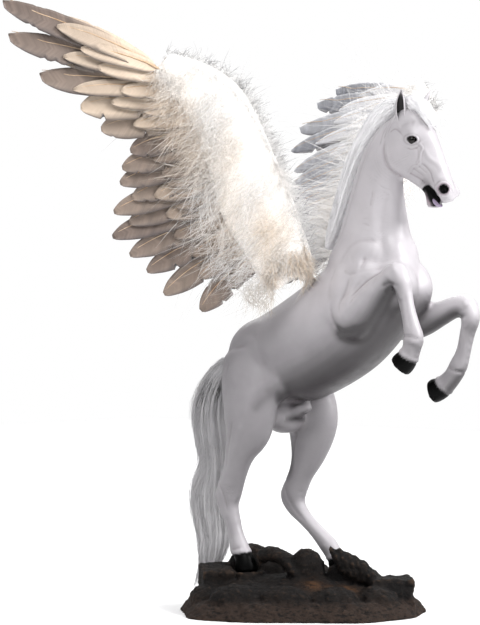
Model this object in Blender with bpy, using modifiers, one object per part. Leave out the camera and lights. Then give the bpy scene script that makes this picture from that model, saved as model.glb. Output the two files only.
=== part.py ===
# A rearing winged horse on a rock base: a cast figure with glued feathers, down and hair.
# The horse heads along +X with its left side at +Y. The origin is under the middle of the base.
# Tables of stations are in millimetres; the model is in metres.

import math
import bmesh
import bpy
import numpy as np
from mathutils import Matrix, Vector

MM = 0.001

# Driving sizes of the casting
body_voxel = 2.3 * MM
body_smoothing = 11
body_keep = 0.05
ring_points = 24
spline_steps = 4
lump_segments, lump_rings = 20, 12

# Gaps between pieces that meet
seat_gap = 0.4 * MM
pin_gap = 0.3 * MM
socket_gap = 0.6 * MM

# Trunk and neck: top x, z, bottom x, z, half width, pinch of the upper half, pinch of the lower half
trunk_stations = [
    (-88, 250, -82, 228, 14, 1.0, 1.0),
    (-86, 264, -70, 212, 28, 0.9, 1.0),
    (-75, 288, -42, 214, 39, 0.8, 1.0),
    (-55, 309, -14, 226, 43, 0.8, 0.9),
    (-28, 324, 18, 226, 44, 0.9, 0.8),
    (0, 340, 50, 238, 46, 1.0, 0.8),
    (25, 356, 84, 256, 46, 1.1, 0.8),
    (44, 370, 110, 276, 43, 1.4, 0.8),
    (62, 382, 132, 300, 41, 1.2, 0.8),
    (84, 386, 147, 320, 38, 1.0, 0.8),
    (106, 380, 152, 334, 31, 0.9, 0.9),
    (122, 366, 153, 344, 20, 1.0, 1.0),
]
neck_stations = [
    (36, 360, 134, 308, 36, 1.4, 0.8),
    (40, 378, 149, 336, 34, 1.5, 0.7),
    (51, 398, 148, 364, 29, 1.5, 0.7),
    (60, 424, 139, 394, 23, 1.5, 0.8),
    (70, 454, 133, 424, 18, 1.4, 0.8),
    (82, 482, 130, 448, 16, 1.3, 0.8),
    (98, 503, 129, 464, 14.5, 1.2, 0.8),
    (116, 515, 134, 484, 13, 1.1, 0.9),
    (130, 519, 142, 500, 11, 1.0, 1.0),
]
# Head: face line x, z, jaw line x, z, half width and pinches
skull_stations = [
    (120, 516, 110, 494, 9, 1.0, 1.0),
    (137, 526, 111, 480, 14, 0.8, 0.8),
    (152, 524, 113, 470, 16.5, 0.8, 0.8),
    (165, 511, 119, 458, 17, 0.8, 0.9),
    (174, 494, 134, 455, 14.5, 0.8, 1.0),
    (181, 478, 150, 454, 12, 0.9, 1.0),
    (187, 462, 163, 448, 10.5, 0.9, 0.9),
    (193, 449, 172, 438, 11, 0.8, 0.8),
    (197, 439, 179, 431, 10.5, 0.8, 0.8),
    (194, 430, 183, 427, 7, 1.0, 1.0),
]
lower_jaw_stations = [
    (140, 472, 118, 466, 12, 1.0, 1.0),
    (150, 460, 133, 456, 11, 1.0, 1.0),
    (158, 453, 146, 449, 9, 1.0, 1.0),
    (164, 447, 156, 443, 8, 0.9, 0.9),
    (168, 441, 162, 438, 7.5, 0.9, 0.9),
    (172, 434, 164, 431, 7.5, 0.9, 0.9),
    (177, 428, 167, 425, 7, 0.9, 0.9),
    (181, 425, 172, 422, 5, 1.0, 1.0),
]
# Limbs: x, y, z, half depth, half width
right_foreleg = [
    (86, -30, 330, 26, 12),
    (92, -34, 312, 25, 15),
    (108, -36, 322, 20, 14),
    (126, -36, 338, 14.5, 12),
    (140, -36, 350, 11, 10.5),
    (149, -36, 358, 10.5, 10.5),
    (157, -36, 350, 10.5, 10.5),
    (160, -36, 338, 9, 8.5),
    (164, -36, 322, 8.3, 7.5),
    (169, -36, 304, 9.5, 8),
    (172, -36, 292, 11, 9.5),
    (169, -36, 281, 10, 8.8),
    (166, -36, 274, 10.5, 9.8),
    (160, -36, 268, 11.8, 11),
    (155, -36, 263, 12, 11.5),
]
left_foreleg = [
    (96, 30, 322, 24, 12),
    (112, 34, 310, 22, 15),
    (132, 35, 310, 18.5, 14),
    (154, 35, 316, 13.5, 12),
    (173, 35, 323, 11.5, 10.5),
    (187, 35, 324, 11, 10.5),
    (192, 35, 311, 10, 10),
    (188, 35, 297, 8.6, 8),
    (183, 35, 277, 8.4, 7.4),
    (177, 35, 263, 10.5, 9),
    (170, 35, 252, 10, 9),
    (160, 35, 242, 11, 10),
    (152, 35, 238.5, 12, 11.5),
    (144, 35, 236, 13, 12),
]
right_hind_leg = [
    (-48, -26, 275, 34, 18),
    (-44, -31, 245, 37, 20),
    (-42, -34, 218, 34, 19),
    (-46, -34, 192, 29.5, 17),
    (-57, -33, 168, 18.5, 13),
    (-66, -31, 146, 15, 11),
    (-75, -30, 123, 16.5, 10),
    (-75, -30, 111, 12.5, 8.8),
    (-70, -30, 95, 9.8, 8),
    (-65, -30, 80, 9.8, 8),
    (-60, -30, 67, 11.3, 9.5),
    (-54, -30, 58, 10.5, 9.5),
    (-51, -30, 50, 13, 11.5),
    (-50, -30, 41, 14.5, 12.5),
]
left_hind_leg = [
    (-38, 26, 266, 34, 18),
    (-26, 31, 238, 36, 20),
    (-13, 34, 212, 33, 19),
    (-12, 34, 190, 30, 17),
    (-17, 33, 164, 21.5, 13),
    (-25, 31, 143, 15, 10.5),
    (-34, 30, 121, 16, 10),
    (-31, 30, 109, 12.5, 9),
    (-19, 30, 97, 9.2, 7.8),
    (-3, 30, 84, 8.7, 7.8),
    (13, 30, 70, 10.5, 9.2),
    (22, 30, 59, 10, 9),
    (28, 30, 50, 12.5, 11.5),
    (31, 30, 41, 14.5, 12.5),
]
# Muscle and bone: centre x, y, z, radii x, y, z, turn about y; each has a twin at -y
paired_lumps = [
    (128, 14, 341, 29, 20, 31, 20),
    (121, 11, 366, 21, 14, 32, 16),
    (82, 23, 344, 22, 14, 40, 32),
    (66, 27, 314, 26, 18, 28, -20),
    (154, 11.5, 494, 10, 6.5, 8, 35),
    (136, 9, 481, 20, 7.5, 22, 0),
    (190, 6, 438, 7.5, 6, 6.5, 0),
    (-48, 18, 284, 36, 22, 24, -34),
    (-62, 23, 254, 23, 19, 34, 16),
    (-22, 27, 252, 30, 17, 34, -30),
]
single_lumps = [
    (-2, -1, 213, 15, 8, 7.5, -23),
    (9, -1, 217, 6.5, 6.5, 6.5, 0),
    (-25, 3, 207, 20, 26, 19, 0),
    (167, 0, 428, 4.5, 5.5, 5, 0),
]
# Ears from the root up, one pricked further forward: x, y, z, half depth, half width
right_ear = [
    (136, -10, 510, 5, 5),
    (137, -11, 519, 5.6, 5.2),
    (139, -12, 530, 4.8, 4.6),
    (140, -13, 538, 3.2, 3.2),
    (140, -14, 544, 1.3, 1.3),
]
left_ear = [
    (141, 10, 511, 5, 5),
    (144, 12, 520, 5.4, 5),
    (149, 15, 531, 4.6, 4.4),
    (153, 17, 539, 3.1, 3.1),
    (155, 18, 545, 1.3, 1.3),
]

# Eyes, placed from the brow of the skull, and the mouth, cut from each side up to a middle wall
brow_station = 3
eye_radius = 4.7 * MM
eye_from_brow = (-10.5, -19.5)
eye_apart = 14.2
mouth_corners = [(163, 447), (170, 445), (177, 441), (185, 428), (174, 426), (168, 435)]
mouth_wall_half = 3.0

# Pins from the hind hooves into the base
pin_radius = 2.0 * MM
pin_low, pin_high = 27 * MM, 53 * MM
hoof_spots = {"right": (-50, -30), "left": (31, 30)}

# Wings: the seat of the arm, the way feathers trail, the way the arm rises
wing_frames = {
    "right": ((30, -34, 352), (-0.639, -0.769, 0.0), (0.123, -0.102, 0.987)),
    "left": ((36, 32, 366), (-0.841, 0.479, 0.234), (0.466, 0.439, 0.7645)),
}
wing_side = {"right": 1, "left": -1}
# Arm board in the wing's plane: front edge and rear edge, root to tip
board_front = [(-6, 6), (8, 50), (24, 94), (42, 131), (64, 172), (98, 205), (150, 226)]
board_rear = [(24, 4), (42, 40), (62, 76), (82, 114), (98, 150), (120, 184), (156, 214)]
board_half_thickness = 2.0
# The arm's peg: where it leaves the board in the wing's plane, and its reach from the seat
peg_radius = 4.0 * MM
peg_segments = 24
peg_start_spot = (10, 14)
peg_reach = {"right": (13, 25, -16), "left": (16, -23, -23)}
# Flight feathers: name, root u, v, tip u, v, half width of the vane
right_feathers = [
    ("primary_1", 156, 214, 315, 277, 11),
    ("primary_2", 143, 203, 309, 243, 11.5),
    ("primary_3", 132, 193, 277, 203, 12.5),
    ("primary_4", 121, 182, 235, 176, 14),
    ("primary_5", 112, 168, 214, 154, 13),
    ("secondary_01", 102, 154, 184, 132, 12),
    ("secondary_02", 94, 140, 192, 115, 12),
    ("secondary_03", 86, 128, 194, 100, 12),
    ("secondary_04", 81, 117, 181, 85, 12),
    ("secondary_05", 75, 106, 200, 71, 12),
    ("secondary_06", 69, 95, 184, 60, 12),
    ("secondary_07", 63, 84, 201, 46, 12),
    ("secondary_08", 57, 73, 183, 27, 12),
    ("secondary_09", 51, 62, 165, 10, 12),
    ("secondary_10", 45, 50, 147, -14, 12),
    ("secondary_11", 38, 38, 108, -32, 12),
]
left_feathers = [
    ("primary_1", 156, 210, 332, 181, 11),
    ("primary_2", 143, 203, 349, 156, 11.5),
    ("primary_3", 132, 193, 342, 119, 12.5),
    ("primary_4", 121, 182, 322, 96, 13),
    ("primary_5", 112, 168, 276, 74, 13),
    ("secondary_01", 102, 154, 256, 58, 12),
    ("secondary_02", 94, 140, 247, 43, 12),
    ("secondary_03", 86, 128, 237, 28, 12),
    ("secondary_04", 81, 117, 228, 14, 12),
    ("secondary_05", 75, 106, 217, 0, 12),
    ("secondary_06", 69, 95, 205, -13, 12),
    ("secondary_07", 63, 84, 191, -25, 12),
    ("secondary_08", 57, 73, 176, -35, 12),
    ("secondary_09", 51, 62, 157, -45, 12),
    ("secondary_10", 45, 50, 134, -52, 12),
    ("secondary_11", 38, 38, 104, -51, 12),
]
feather_tilt = 14.0
feather_root_depth = 7.0
quill_half = 1.1
quill_slot_half = 1.5
quill_slot_slack = 0.4
quill_slot_run = 8.0
# Share of the length, share of the half width, droop of the shaft as a share of the length
vane_rows = [
    (0.06, 0.0, 0.0),
    (0.14, 0.6, 0.005),
    (0.4, 0.97, 0.013),
    (0.7, 1.0, 0.004),
    (0.92, 0.74, -0.018),
    (1.0, 0.14, -0.034),
]
vane_half_thickness = 0.32
shaft_half_thickness = 0.7
shaft_share = 0.12

# Down: front edge and rear edge in the wing's plane, fullness over the plane. The first two rows
# are by the horse, and hang lower on the outside of the near wing
down_roots = ([(-16, 4), (-12, 26)], [(40, -20), (62, -8)])
near_down_roots = ([(2, -16), (-12, 20)], [(40, -34), (64, -18)])
down_front = [
    (-2, 50),
    (6, 70),
    (16, 92),
    (24, 112),
    (34, 132),
    (43, 152),
    (54, 175),
    (67, 198),
    (86, 214),
    (112, 227),
    (148, 234),
]
down_rear = [
    (82, 8),
    (98, 26),
    (110, 44),
    (116, 64),
    (118, 84),
    (122, 104),
    (127, 124),
    (132, 144),
    (141, 164),
    (156, 184),
    (172, 208),
]
down_fullness = [7, 12, 15, 17, 18, 18, 18, 18, 17, 16, 14, 11, 6]
down_over_board = 2.35
down_over_roots = 2.7
down_over_feathers = 4.4
down_meeting_gap = 0.2
down_tuft = 3.0
down_lip = 1.2
down_step = 0.5
down_inset = 1.5
# Shares of the fullness from the front edge to the rear edge
down_profile = (0.06, 0.62, 0.7, 1.0, 0.95, 0.62, 0.06)

# Hair: x, y, z, half depth, half width
hair_ring_points = 14
hair_spline_steps = 2
tail_rows = [
    (-74, 0, 256, 7, 7),
    (-90, 0, 260, 10, 9),
    (-104, 0, 255, 13, 11),
    (-117, 0, 236, 18, 13),
    (-125, 0, 210, 23, 15),
    (-122, 0, 182, 23, 15),
    (-118, 0, 150, 20, 14),
    (-127, 0, 122, 25, 15),
    (-127, 0, 98, 24, 14),
    (-123, 0, 72, 21, 12),
    (-126, 0, 54, 17, 10),
    (-130, 0, 40, 11, 7),
]
mane_rows = [
    (34, 3, 384, 4, 5),
    (40, 4, 402, 7, 8),
    (50, 5, 428, 9, 9),
    (60, 5, 456, 10, 9),
    (72, 5, 482, 11, 9),
    (90, 4, 506, 12, 9),
    (106, 3, 522, 12, 9),
    (122, 2, 529, 9, 8),
    (129, 0, 531, 5, 5),
]
forelock_rows = [
    (137, -1, 532, 5, 5),
    (145, -1, 531, 7.5, 7),
    (154, 0, 526, 7.5, 8),
    (163, 0, 518, 5.5, 9),
    (170, 0, 507, 3.5, 6),
]

# Rock base, laid out square to the photographed side: long axis turned from the horse's heading
base_turn = math.radians(40)
base_half_length, base_half_width = 127, 85
# Skirt: height and share of the rim; waves in the rim: count, share, start
skirt_rows = [(-8, 1.01), (2, 1.01), (11, 0.95), (18, 0.88)]
rim_waves = [(5, 0.025, 1.0), (9, 0.02, 0.0)]
rim_points = 48
rim_squareness = 0.8
base_voxel = 3.6 * MM
base_keep = 0.12
base_roughness = 5 * MM
base_grain = 16 * MM
pad_radius = 19 * MM
pad_low, pad_top = 20, 42
under_cut_side, under_cut_depth = 0.4, 0.1
# Boulders: along, across, height, radii, turn; blocks are the same with flat faces
boulders = [
    (-8, 4, 10, 112, 72, 30, 0),
    (-53, 38, 40, 26, 18, 30, 10),
    (-20, 40, 34, 24, 20, 26, -10),
    (5, -12, 42, 20, 15, 28, 10),
    (-70, -44, 20, 26, 17, 15, 15),
    (-20, -54, 18, 28, 17, 17, -8),
    (34, -54, 18, 26, 18, 15, 10),
    (78, -36, 18, 22, 20, 14, 0),
    (62, 34, 24, 30, 26, 20, 20),
    (12, 44, 24, 30, 20, 24, 0),
    (-100, -14, 16, 18, 20, 16, 0),
    (52, -8, 32, 26, 12, 27, 0),
]
blocks = [
    (-90, 10, 26, 17, 21, 22, 8),
    (94, -14, 21, 23, 16, 18, 4),
]
# Overlapping blades of bark on the ridge: along, across, height, half length, lean in degrees
blade_half_thickness, blade_half_width = 5, 11
bark_blades = [
    (41, -15, 53, 22, -30),
    (48, -17, 51, 21, -27),
    (55, -18, 49, 19, -24),
    (62, -19, 47, 17, -21),
    (68, -19, 44, 15, -19),
    (74, -18, 39, 12, -18),
]
# A curved log beside the near hoof: along, across, height, half depth, half width
fallen_log = [
    (-44, 4, 58, 7, 10),
    (-32, 0, 62, 8, 12),
    (-18, -7, 57, 8, 13),
    (-8, -14, 46, 7, 12),
    (2, -20, 32, 6, 10),
]


def clear_scene():
    for old in list(bpy.data.objects):
        bpy.data.objects.remove(old)


def new_collection(name):
    made = bpy.data.collections.new(name)
    bpy.context.scene.collection.children.link(made)
    return made


def new_material(name, colour, roughness, metallic=0.0):
    material = bpy.data.materials.new(name)
    material.use_nodes = True
    shader = material.node_tree.nodes["Principled BSDF"]
    shader.inputs["Base Color"].default_value = (*colour, 1)
    shader.inputs["Roughness"].default_value = roughness
    shader.inputs["Metallic"].default_value = metallic
    return material


def add_part(name, bm, material, smooth=True):
    """A visible piece made from the mesh under construction."""
    bmesh.ops.recalc_face_normals(bm, faces=bm.faces)
    mesh = bpy.data.meshes.new(name)
    bm.to_mesh(mesh)
    bm.free()
    mesh.materials.append(material)
    if smooth:
        mesh.shade_smooth()
    obj = bpy.data.objects.new(name, mesh)
    pegasus.objects.link(obj)
    return obj


def add_cutter(name, bm):
    """A shape used only to cut or join others."""
    bmesh.ops.recalc_face_normals(bm, faces=bm.faces)
    mesh = bpy.data.meshes.new(name)
    bm.to_mesh(mesh)
    bm.free()
    obj = bpy.data.objects.new(name, mesh)
    cutters.objects.link(obj)
    obj.hide_render = True
    obj.display_type = "WIRE"
    return obj


def combine(obj, other, operation="DIFFERENCE"):
    modifier = obj.modifiers.new(other.name, "BOOLEAN")
    modifier.operation = operation
    modifier.solver = "EXACT"
    modifier.object = other


def smooth_rows(rows, steps):
    """Rows of numbers with further rows between them on a Catmull-Rom curve."""
    points = np.array(rows, float)
    ends = np.vstack([2 * points[0] - points[1], points, 2 * points[-1] - points[-2]])
    found = []
    for i in range(1, len(ends) - 2):
        a, b, c, d = ends[i - 1 : i + 3]
        for step in range(steps):
            t = step / steps
            square = (2 * a - 5 * b + 4 * c - d) * t**2
            cube = (3 * b - a - 3 * c + d) * t**3
            found.append(0.5 * (2 * b + (c - a) * t + square + cube))
    found.append(points[-1])
    return np.array(found)


def skin_rings(bm, rings):
    """Joins closed rings of points into one closed tube."""
    made = [[bm.verts.new(p) for p in ring] for ring in rings]
    count = len(made[0])
    for lower, upper in zip(made, made[1:]):
        for i in range(count):
            j = (i + 1) % count
            bm.faces.new((lower[i], lower[j], upper[j], upper[i]))
    bm.faces.new(made[0][::-1])
    bm.faces.new(made[-1])


def add_slab_loft(bm, stations):
    """A loft between sections that are each given by their top and bottom points."""
    rings = []
    for tx, tz, bx, bz, half, pinch_top, pinch_bottom in smooth_rows(stations, spline_steps):
        centre = Vector(((tx + bx) / 2, 0, (tz + bz) / 2)) * MM
        up = Vector(((tx - bx) / 2, 0, (tz - bz) / 2)) * MM
        ring = []
        for i in range(ring_points):
            angle = 2 * math.pi * i / ring_points
            rise, reach = math.sin(angle), math.cos(angle)
            pinch = pinch_top if rise > 0 else pinch_bottom
            side = math.copysign(abs(reach) ** pinch, reach) * half * MM
            ring.append(centre + up * rise + Vector((0, side, 0)))
        rings.append(ring)
    skin_rings(bm, rings)


def add_limb_loft(bm, stations, points=ring_points, steps=spline_steps):
    """A loft of oval sections square to a path in space."""
    rows = smooth_rows(stations, steps)
    places = rows[:, :3] * MM
    tangents = np.gradient(places, axis=0)
    rings = []
    for place, tangent, row in zip(places, tangents, rows):
        along = Vector(tangent).normalized()
        side = Vector((0, 1, 0))
        side = (side - along * side.dot(along)).normalized()
        front = side.cross(along)
        ring = []
        for i in range(points):
            angle = 2 * math.pi * i / points
            reach = front * math.cos(angle) * row[3] + side * math.sin(angle) * row[4]
            ring.append(Vector(place) + reach * MM)
        rings.append(ring)
    skin_rings(bm, rings)


def add_lump(bm, lump, mirror=1):
    """An ellipsoid of muscle or bone: centre, radii and a turn about y in degrees."""
    x, y, z, rx, ry, rz, turn = lump
    matrix = (
        Matrix.Translation(Vector((x, y * mirror, z)) * MM)
        @ Matrix.Rotation(math.radians(turn), 4, "Y")
        @ Matrix.Diagonal((rx * MM, ry * MM, rz * MM, 1))
    )
    bmesh.ops.create_uvsphere(
        bm, u_segments=lump_segments, v_segments=lump_rings, radius=1, matrix=matrix
    )


def add_rod(bm, start, end, radius, segments=20):
    """A cylinder between two points given in metres."""
    start, end = Vector(start), Vector(end)
    axis = end - start
    turn = axis.to_track_quat("Z", "Y").to_matrix().to_4x4()
    matrix = Matrix.Translation((start + end) / 2) @ turn
    bmesh.ops.create_cone(
        bm,
        cap_ends=True,
        segments=segments,
        radius1=radius,
        radius2=radius,
        depth=axis.length,
        matrix=matrix,
    )


def body_shape():
    """The horse as overlapping lofts and lumps, before they are fused."""
    bm = bmesh.new()
    for stations in (trunk_stations, neck_stations, skull_stations, lower_jaw_stations):
        add_slab_loft(bm, stations)
    legs = (right_foreleg, left_foreleg, right_hind_leg, left_hind_leg)
    for limb in (*legs, right_ear, left_ear):
        add_limb_loft(bm, limb)
    for lump in paired_lumps:
        add_lump(bm, lump)
        add_lump(bm, lump, mirror=-1)
    for lump in single_lumps:
        add_lump(bm, lump)
    return bm


def fuse(obj):
    """Turns overlapping shapes into one even skin."""
    remesh = obj.modifiers.new("Cast", "REMESH")
    remesh.mode = "VOXEL"
    remesh.voxel_size = body_voxel
    smooth = obj.modifiers.new("Smooth", "SMOOTH")
    smooth.factor = 0.5
    smooth.iterations = round(body_smoothing)
    keep = obj.modifiers.new("Keep", "DECIMATE")
    keep.ratio = body_keep


def build_body():
    body = add_part("horse_body", body_shape(), cast_white)
    fuse(body)
    clearance = add_cutter("body_clearance", body_shape())
    fuse(clearance)
    grow = clearance.modifiers.new("Gap", "DISPLACE")
    grow.strength = seat_gap
    grow.mid_level = 0
    return body, clearance


def build_eyes(body):
    bm = bmesh.new()
    brow_x, brow_z = skull_stations[brow_station][:2]
    for side, mirror in (("right", -1), ("left", 1)):
        centre = Vector(
            (brow_x + eye_from_brow[0], eye_apart * mirror, brow_z + eye_from_brow[1])
        )
        place = Matrix.Translation(centre * MM)
        eye = bmesh.new()
        bmesh.ops.create_icosphere(eye, subdivisions=2, radius=eye_radius, matrix=place)
        add_part(side + "_eye", eye, eye_glass)
        bmesh.ops.create_icosphere(bm, subdivisions=2, radius=eye_radius + socket_gap, matrix=place)
    combine(body, add_cutter("eye_sockets", bm))


def add_prism(bm, corners, start, end):
    """A flat outline in x and z, thickened from one y to another."""
    near = [bm.verts.new(Vector((x, start, z)) * MM) for x, z in corners]
    far = [bm.verts.new(Vector((x, end, z)) * MM) for x, z in corners]
    bm.faces.new(near)
    bm.faces.new(far)
    for i in range(len(corners)):
        j = (i + 1) % len(corners)
        bm.faces.new((near[i], near[j], far[j], far[i]))


def build_mouth(body):
    bm = bmesh.new()
    beyond_cheek = max(row[4] for row in skull_stations)
    for mirror in (1, -1):
        add_prism(bm, mouth_corners, mouth_wall_half * mirror, beyond_cheek * mirror)
    combine(body, add_cutter("mouth_opening", bm))


def build_pins(body, base):
    holes = bmesh.new()
    for side, (x, y) in hoof_spots.items():
        bm = bmesh.new()
        low, high = Vector((x * MM, y * MM, pin_low)), Vector((x * MM, y * MM, pin_high))
        add_rod(bm, low, high, pin_radius)
        add_part(side + "_foot_pin", bm, steel)
        slack = Vector((0, 0, pin_gap))
        add_rod(holes, low - slack, high + slack, pin_radius + pin_gap)
    pin_holes = add_cutter("pin_holes", holes)
    combine(body, pin_holes)
    combine(base, pin_holes)


def wing_axes(side):
    seat, trail, rise = wing_frames[side]
    along = Vector(trail).normalized()
    up = Vector(rise)
    up = (up - along * up.dot(along)).normalized()
    return Vector(seat) * MM, along, up, along.cross(up) * wing_side[side]


def wing_point(axes, u, v, w=0.0):
    seat, along, up, across = axes
    return seat + (along * u + up * v + across * w) * MM


def add_plate(bm, axes, outline, half):
    """A flat plate over an outline in the wing's plane."""
    low = [bm.verts.new(wing_point(axes, u, v, -half)) for u, v in outline]
    high = [bm.verts.new(wing_point(axes, u, v, half)) for u, v in outline]
    bm.faces.new(low)
    bm.faces.new(high)
    for i in range(len(outline)):
        j = (i + 1) % len(outline)
        bm.faces.new((low[i], low[j], high[j], high[i]))


def add_quill_slot(bm, axes, feather):
    _, root_u, root_v, tip_u, tip_v, _ = feather
    along = Vector((tip_u - root_u, tip_v - root_v)).normalized()
    side = Vector((-along.y, along.x)) * quill_slot_half
    start = Vector((root_u, root_v)) - along * (feather_root_depth + quill_slot_slack)
    end = Vector((root_u, root_v)) + along * quill_slot_run
    outline = [start - side, end - side, end + side, start + side]
    add_plate(bm, axes, outline, quill_slot_half)


def build_board(side, axes, feathers, body):
    bm = bmesh.new()
    add_plate(bm, axes, board_front + board_rear[::-1], board_half_thickness)
    board = add_part(side + "_wing_board", bm, board_grey, smooth=False)
    start = wing_point(axes, *peg_start_spot)
    end = axes[0] + Vector(peg_reach[side]) * MM
    peg = bmesh.new()
    add_rod(peg, start, end, peg_radius, peg_segments)
    combine(board, add_cutter(side + "_peg", peg), "UNION")
    slots = bmesh.new()
    for feather in feathers:
        add_quill_slot(slots, axes, feather)
    combine(board, add_cutter(side + "_quill_slots", slots))
    hole = bmesh.new()
    end += (end - start).normalized() * pin_gap
    add_rod(hole, start, end, peg_radius + pin_gap, peg_segments)
    socket = add_cutter(side + "_peg_socket", hole)
    combine(body, socket)
    return socket


def build_feather(side, axes, feather):
    """A thin vane on a shaft, turned about the shaft so that each lies over the next."""
    name, root_u, root_v, tip_u, tip_v, half = feather
    root = Vector((root_u, root_v))
    span = Vector((tip_u - root_u, tip_v - root_v))
    length = span.length
    along = span / length
    beside = Vector((-along.y, along.x))
    tilt = math.radians(feather_tilt)
    rows = [(-feather_root_depth / length, 0.0, 0.0), *vane_rows]
    rings = []
    for share, fullness, droop in rows:
        middle = root + along * share * length + beside * droop * length
        reach = max(half * fullness, quill_half)
        edge = quill_half if fullness == 0 else vane_half_thickness
        ridge = quill_half if fullness == 0 else shaft_half_thickness
        turn = tilt if fullness else 0.0
        inset = reach * shaft_share
        ring = []
        for shift, over in (
            (-reach, -edge),
            (-inset, -ridge),
            (inset, -ridge),
            (reach, -edge),
            (reach, edge),
            (inset, ridge),
            (-inset, ridge),
            (-reach, edge),
        ):
            flat = shift * math.cos(turn) - over * math.sin(turn)
            lift = shift * math.sin(turn) + over * math.cos(turn)
            spot = middle + beside * flat
            ring.append(wing_point(axes, spot.x, spot.y, lift))
        rings.append(ring)
    bm = bmesh.new()
    skin_rings(bm, rings)
    add_part(side + "_" + name, bm, quill_grey)


def close_sheets(bm, inner, outer):
    """Faces over two grids of points and round their shared rim."""
    for i in range(len(inner) - 1):
        for j in range(len(inner[0]) - 1):
            for grid in (inner, outer):
                bm.faces.new((grid[i][j], grid[i + 1][j], grid[i + 1][j + 1], grid[i][j + 1]))
        for j in (0, -1):
            bm.faces.new((inner[i][j], inner[i + 1][j], outer[i + 1][j], outer[i][j]))
    for i in (0, -1):
        for j in range(len(inner[0]) - 1):
            bm.faces.new((inner[i][j], inner[i][j + 1], outer[i][j + 1], outer[i][j]))


def build_down(side, axes, clearance, socket):
    """Down over the arm, in one half on each face of the wing."""
    for name, face in (("front", -1), ("back", 1)):
        near = side == "right" and name == "front"
        root_front, root_rear = near_down_roots if near else down_roots
        board = zip(smooth_rows(board_front, 2), smooth_rows(board_rear, 2))
        rows = zip(board, root_front + down_front, root_rear + down_rear, down_fullness)
        bm = bmesh.new()
        inner, outer = [], []
        for i, ((lead, trail), front, rear, fullness) in enumerate(rows):
            lead, trail, front, rear = map(Vector, (lead, trail, front, rear))
            ahead = (lead - trail).normalized()
            tuft = ahead * (down_tuft if i % 2 else 0)
            seats = [
                (front + tuft, down_meeting_gap),
                (lead + ahead * down_lip, down_meeting_gap),
                (lead + ahead * down_step, down_over_board),
                ((lead + trail) / 2, down_over_board),
                (trail - ahead * down_inset, down_over_roots),
                ((trail + rear) / 2, down_over_feathers),
                (rear - tuft, down_over_feathers),
            ]
            low, high = [], []
            for (place, seat), share in zip(seats, down_profile):
                low.append(bm.verts.new(wing_point(axes, place.x, place.y, face * seat)))
                height = face * (seat + fullness * share)
                high.append(bm.verts.new(wing_point(axes, place.x, place.y, height)))
            inner.append(low)
            outer.append(high)
        close_sheets(bm, inner, outer)
        down = add_part(side + "_" + name + "_down", bm, down_white)
        combine(down, clearance)
        combine(down, socket)


def build_hair(name, rows, clearance):
    bm = bmesh.new()
    add_limb_loft(bm, rows, hair_ring_points, hair_spline_steps)
    combine(add_part(name, bm, hair_cream), clearance)


def add_stone(bm, centre, radii, turns, round_stone=True):
    """A boulder or a block; the turns about z, y and x are in degrees."""
    matrix = Matrix.Translation(Vector(centre) * MM)
    for angle, axis in zip(turns, "ZYX"):
        matrix = matrix @ Matrix.Rotation(math.radians(angle), 4, axis)
    matrix = matrix @ Matrix.Diagonal((*(Vector(radii) * MM), 1))
    if round_stone:
        bmesh.ops.create_icosphere(bm, subdivisions=3, radius=1, matrix=matrix)
    else:
        bmesh.ops.create_cube(bm, size=2, matrix=matrix)


def rim_spot(angle):
    wander = 1 + sum(share * math.sin(count * angle + start) for count, share, start in rim_waves)
    along, across = math.cos(angle), math.sin(angle)
    x = base_half_length * wander * math.copysign(abs(along) ** rim_squareness, along)
    y = base_half_width * wander * math.copysign(abs(across) ** rim_squareness, across)
    return x, y


def base_shape():
    bm = bmesh.new()
    rim = [rim_spot(2 * math.pi * i / rim_points) for i in range(rim_points)]
    rings = []
    for height, share in skirt_rows:
        rings.append([Vector((x * share, y * share, height)) * MM for x, y in rim])
    skin_rings(bm, rings)
    for x, y, z, rx, ry, rz, turn in boulders:
        add_stone(bm, (x, y, z), (rx, ry, rz), (turn, 0, turn))
    for x, y, z, rx, ry, rz, turn in blocks:
        add_stone(bm, (x, y, z), (rx, ry, rz), (turn, 0, turn), round_stone=False)
    for x, y, z, half_length, lean in bark_blades:
        radii = (blade_half_thickness, blade_half_width, half_length)
        add_stone(bm, (x, y, z), radii, (0, lean, 0))
    add_limb_loft(bm, fallen_log)
    bmesh.ops.rotate(bm, verts=bm.verts, matrix=Matrix.Rotation(base_turn, 3, "Z"))
    for x, y in hoof_spots.values():
        low, high = Vector((x, y, pad_low)) * MM, Vector((x, y, pad_top)) * MM
        add_rod(bm, low, high, pad_radius)
    return bm


def build_base(clearance):
    base = add_part("rock_base", base_shape(), rock_brown, smooth=False)
    remesh = base.modifiers.new("Stone", "REMESH")
    remesh.mode = "VOXEL"
    remesh.voxel_size = base_voxel
    texture = bpy.data.textures.new("stone_grain", "CLOUDS")
    texture.noise_scale = base_grain
    texture.noise_depth = 3
    rough = base.modifiers.new("Rough", "DISPLACE")
    rough.texture = texture
    rough.texture_coords = "LOCAL"
    rough.strength = base_roughness
    rough.mid_level = 0.5
    keep = base.modifiers.new("Keep", "DECIMATE")
    keep.ratio = base_keep
    bm = bmesh.new()
    size = (under_cut_side, under_cut_side, under_cut_depth, 1)
    under = Matrix.Translation((0, 0, -under_cut_depth / 2)) @ Matrix.Diagonal(size)
    bmesh.ops.create_cube(bm, size=1, matrix=under)
    combine(base, add_cutter("under_base", bm))
    combine(base, clearance)
    return base


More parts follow.
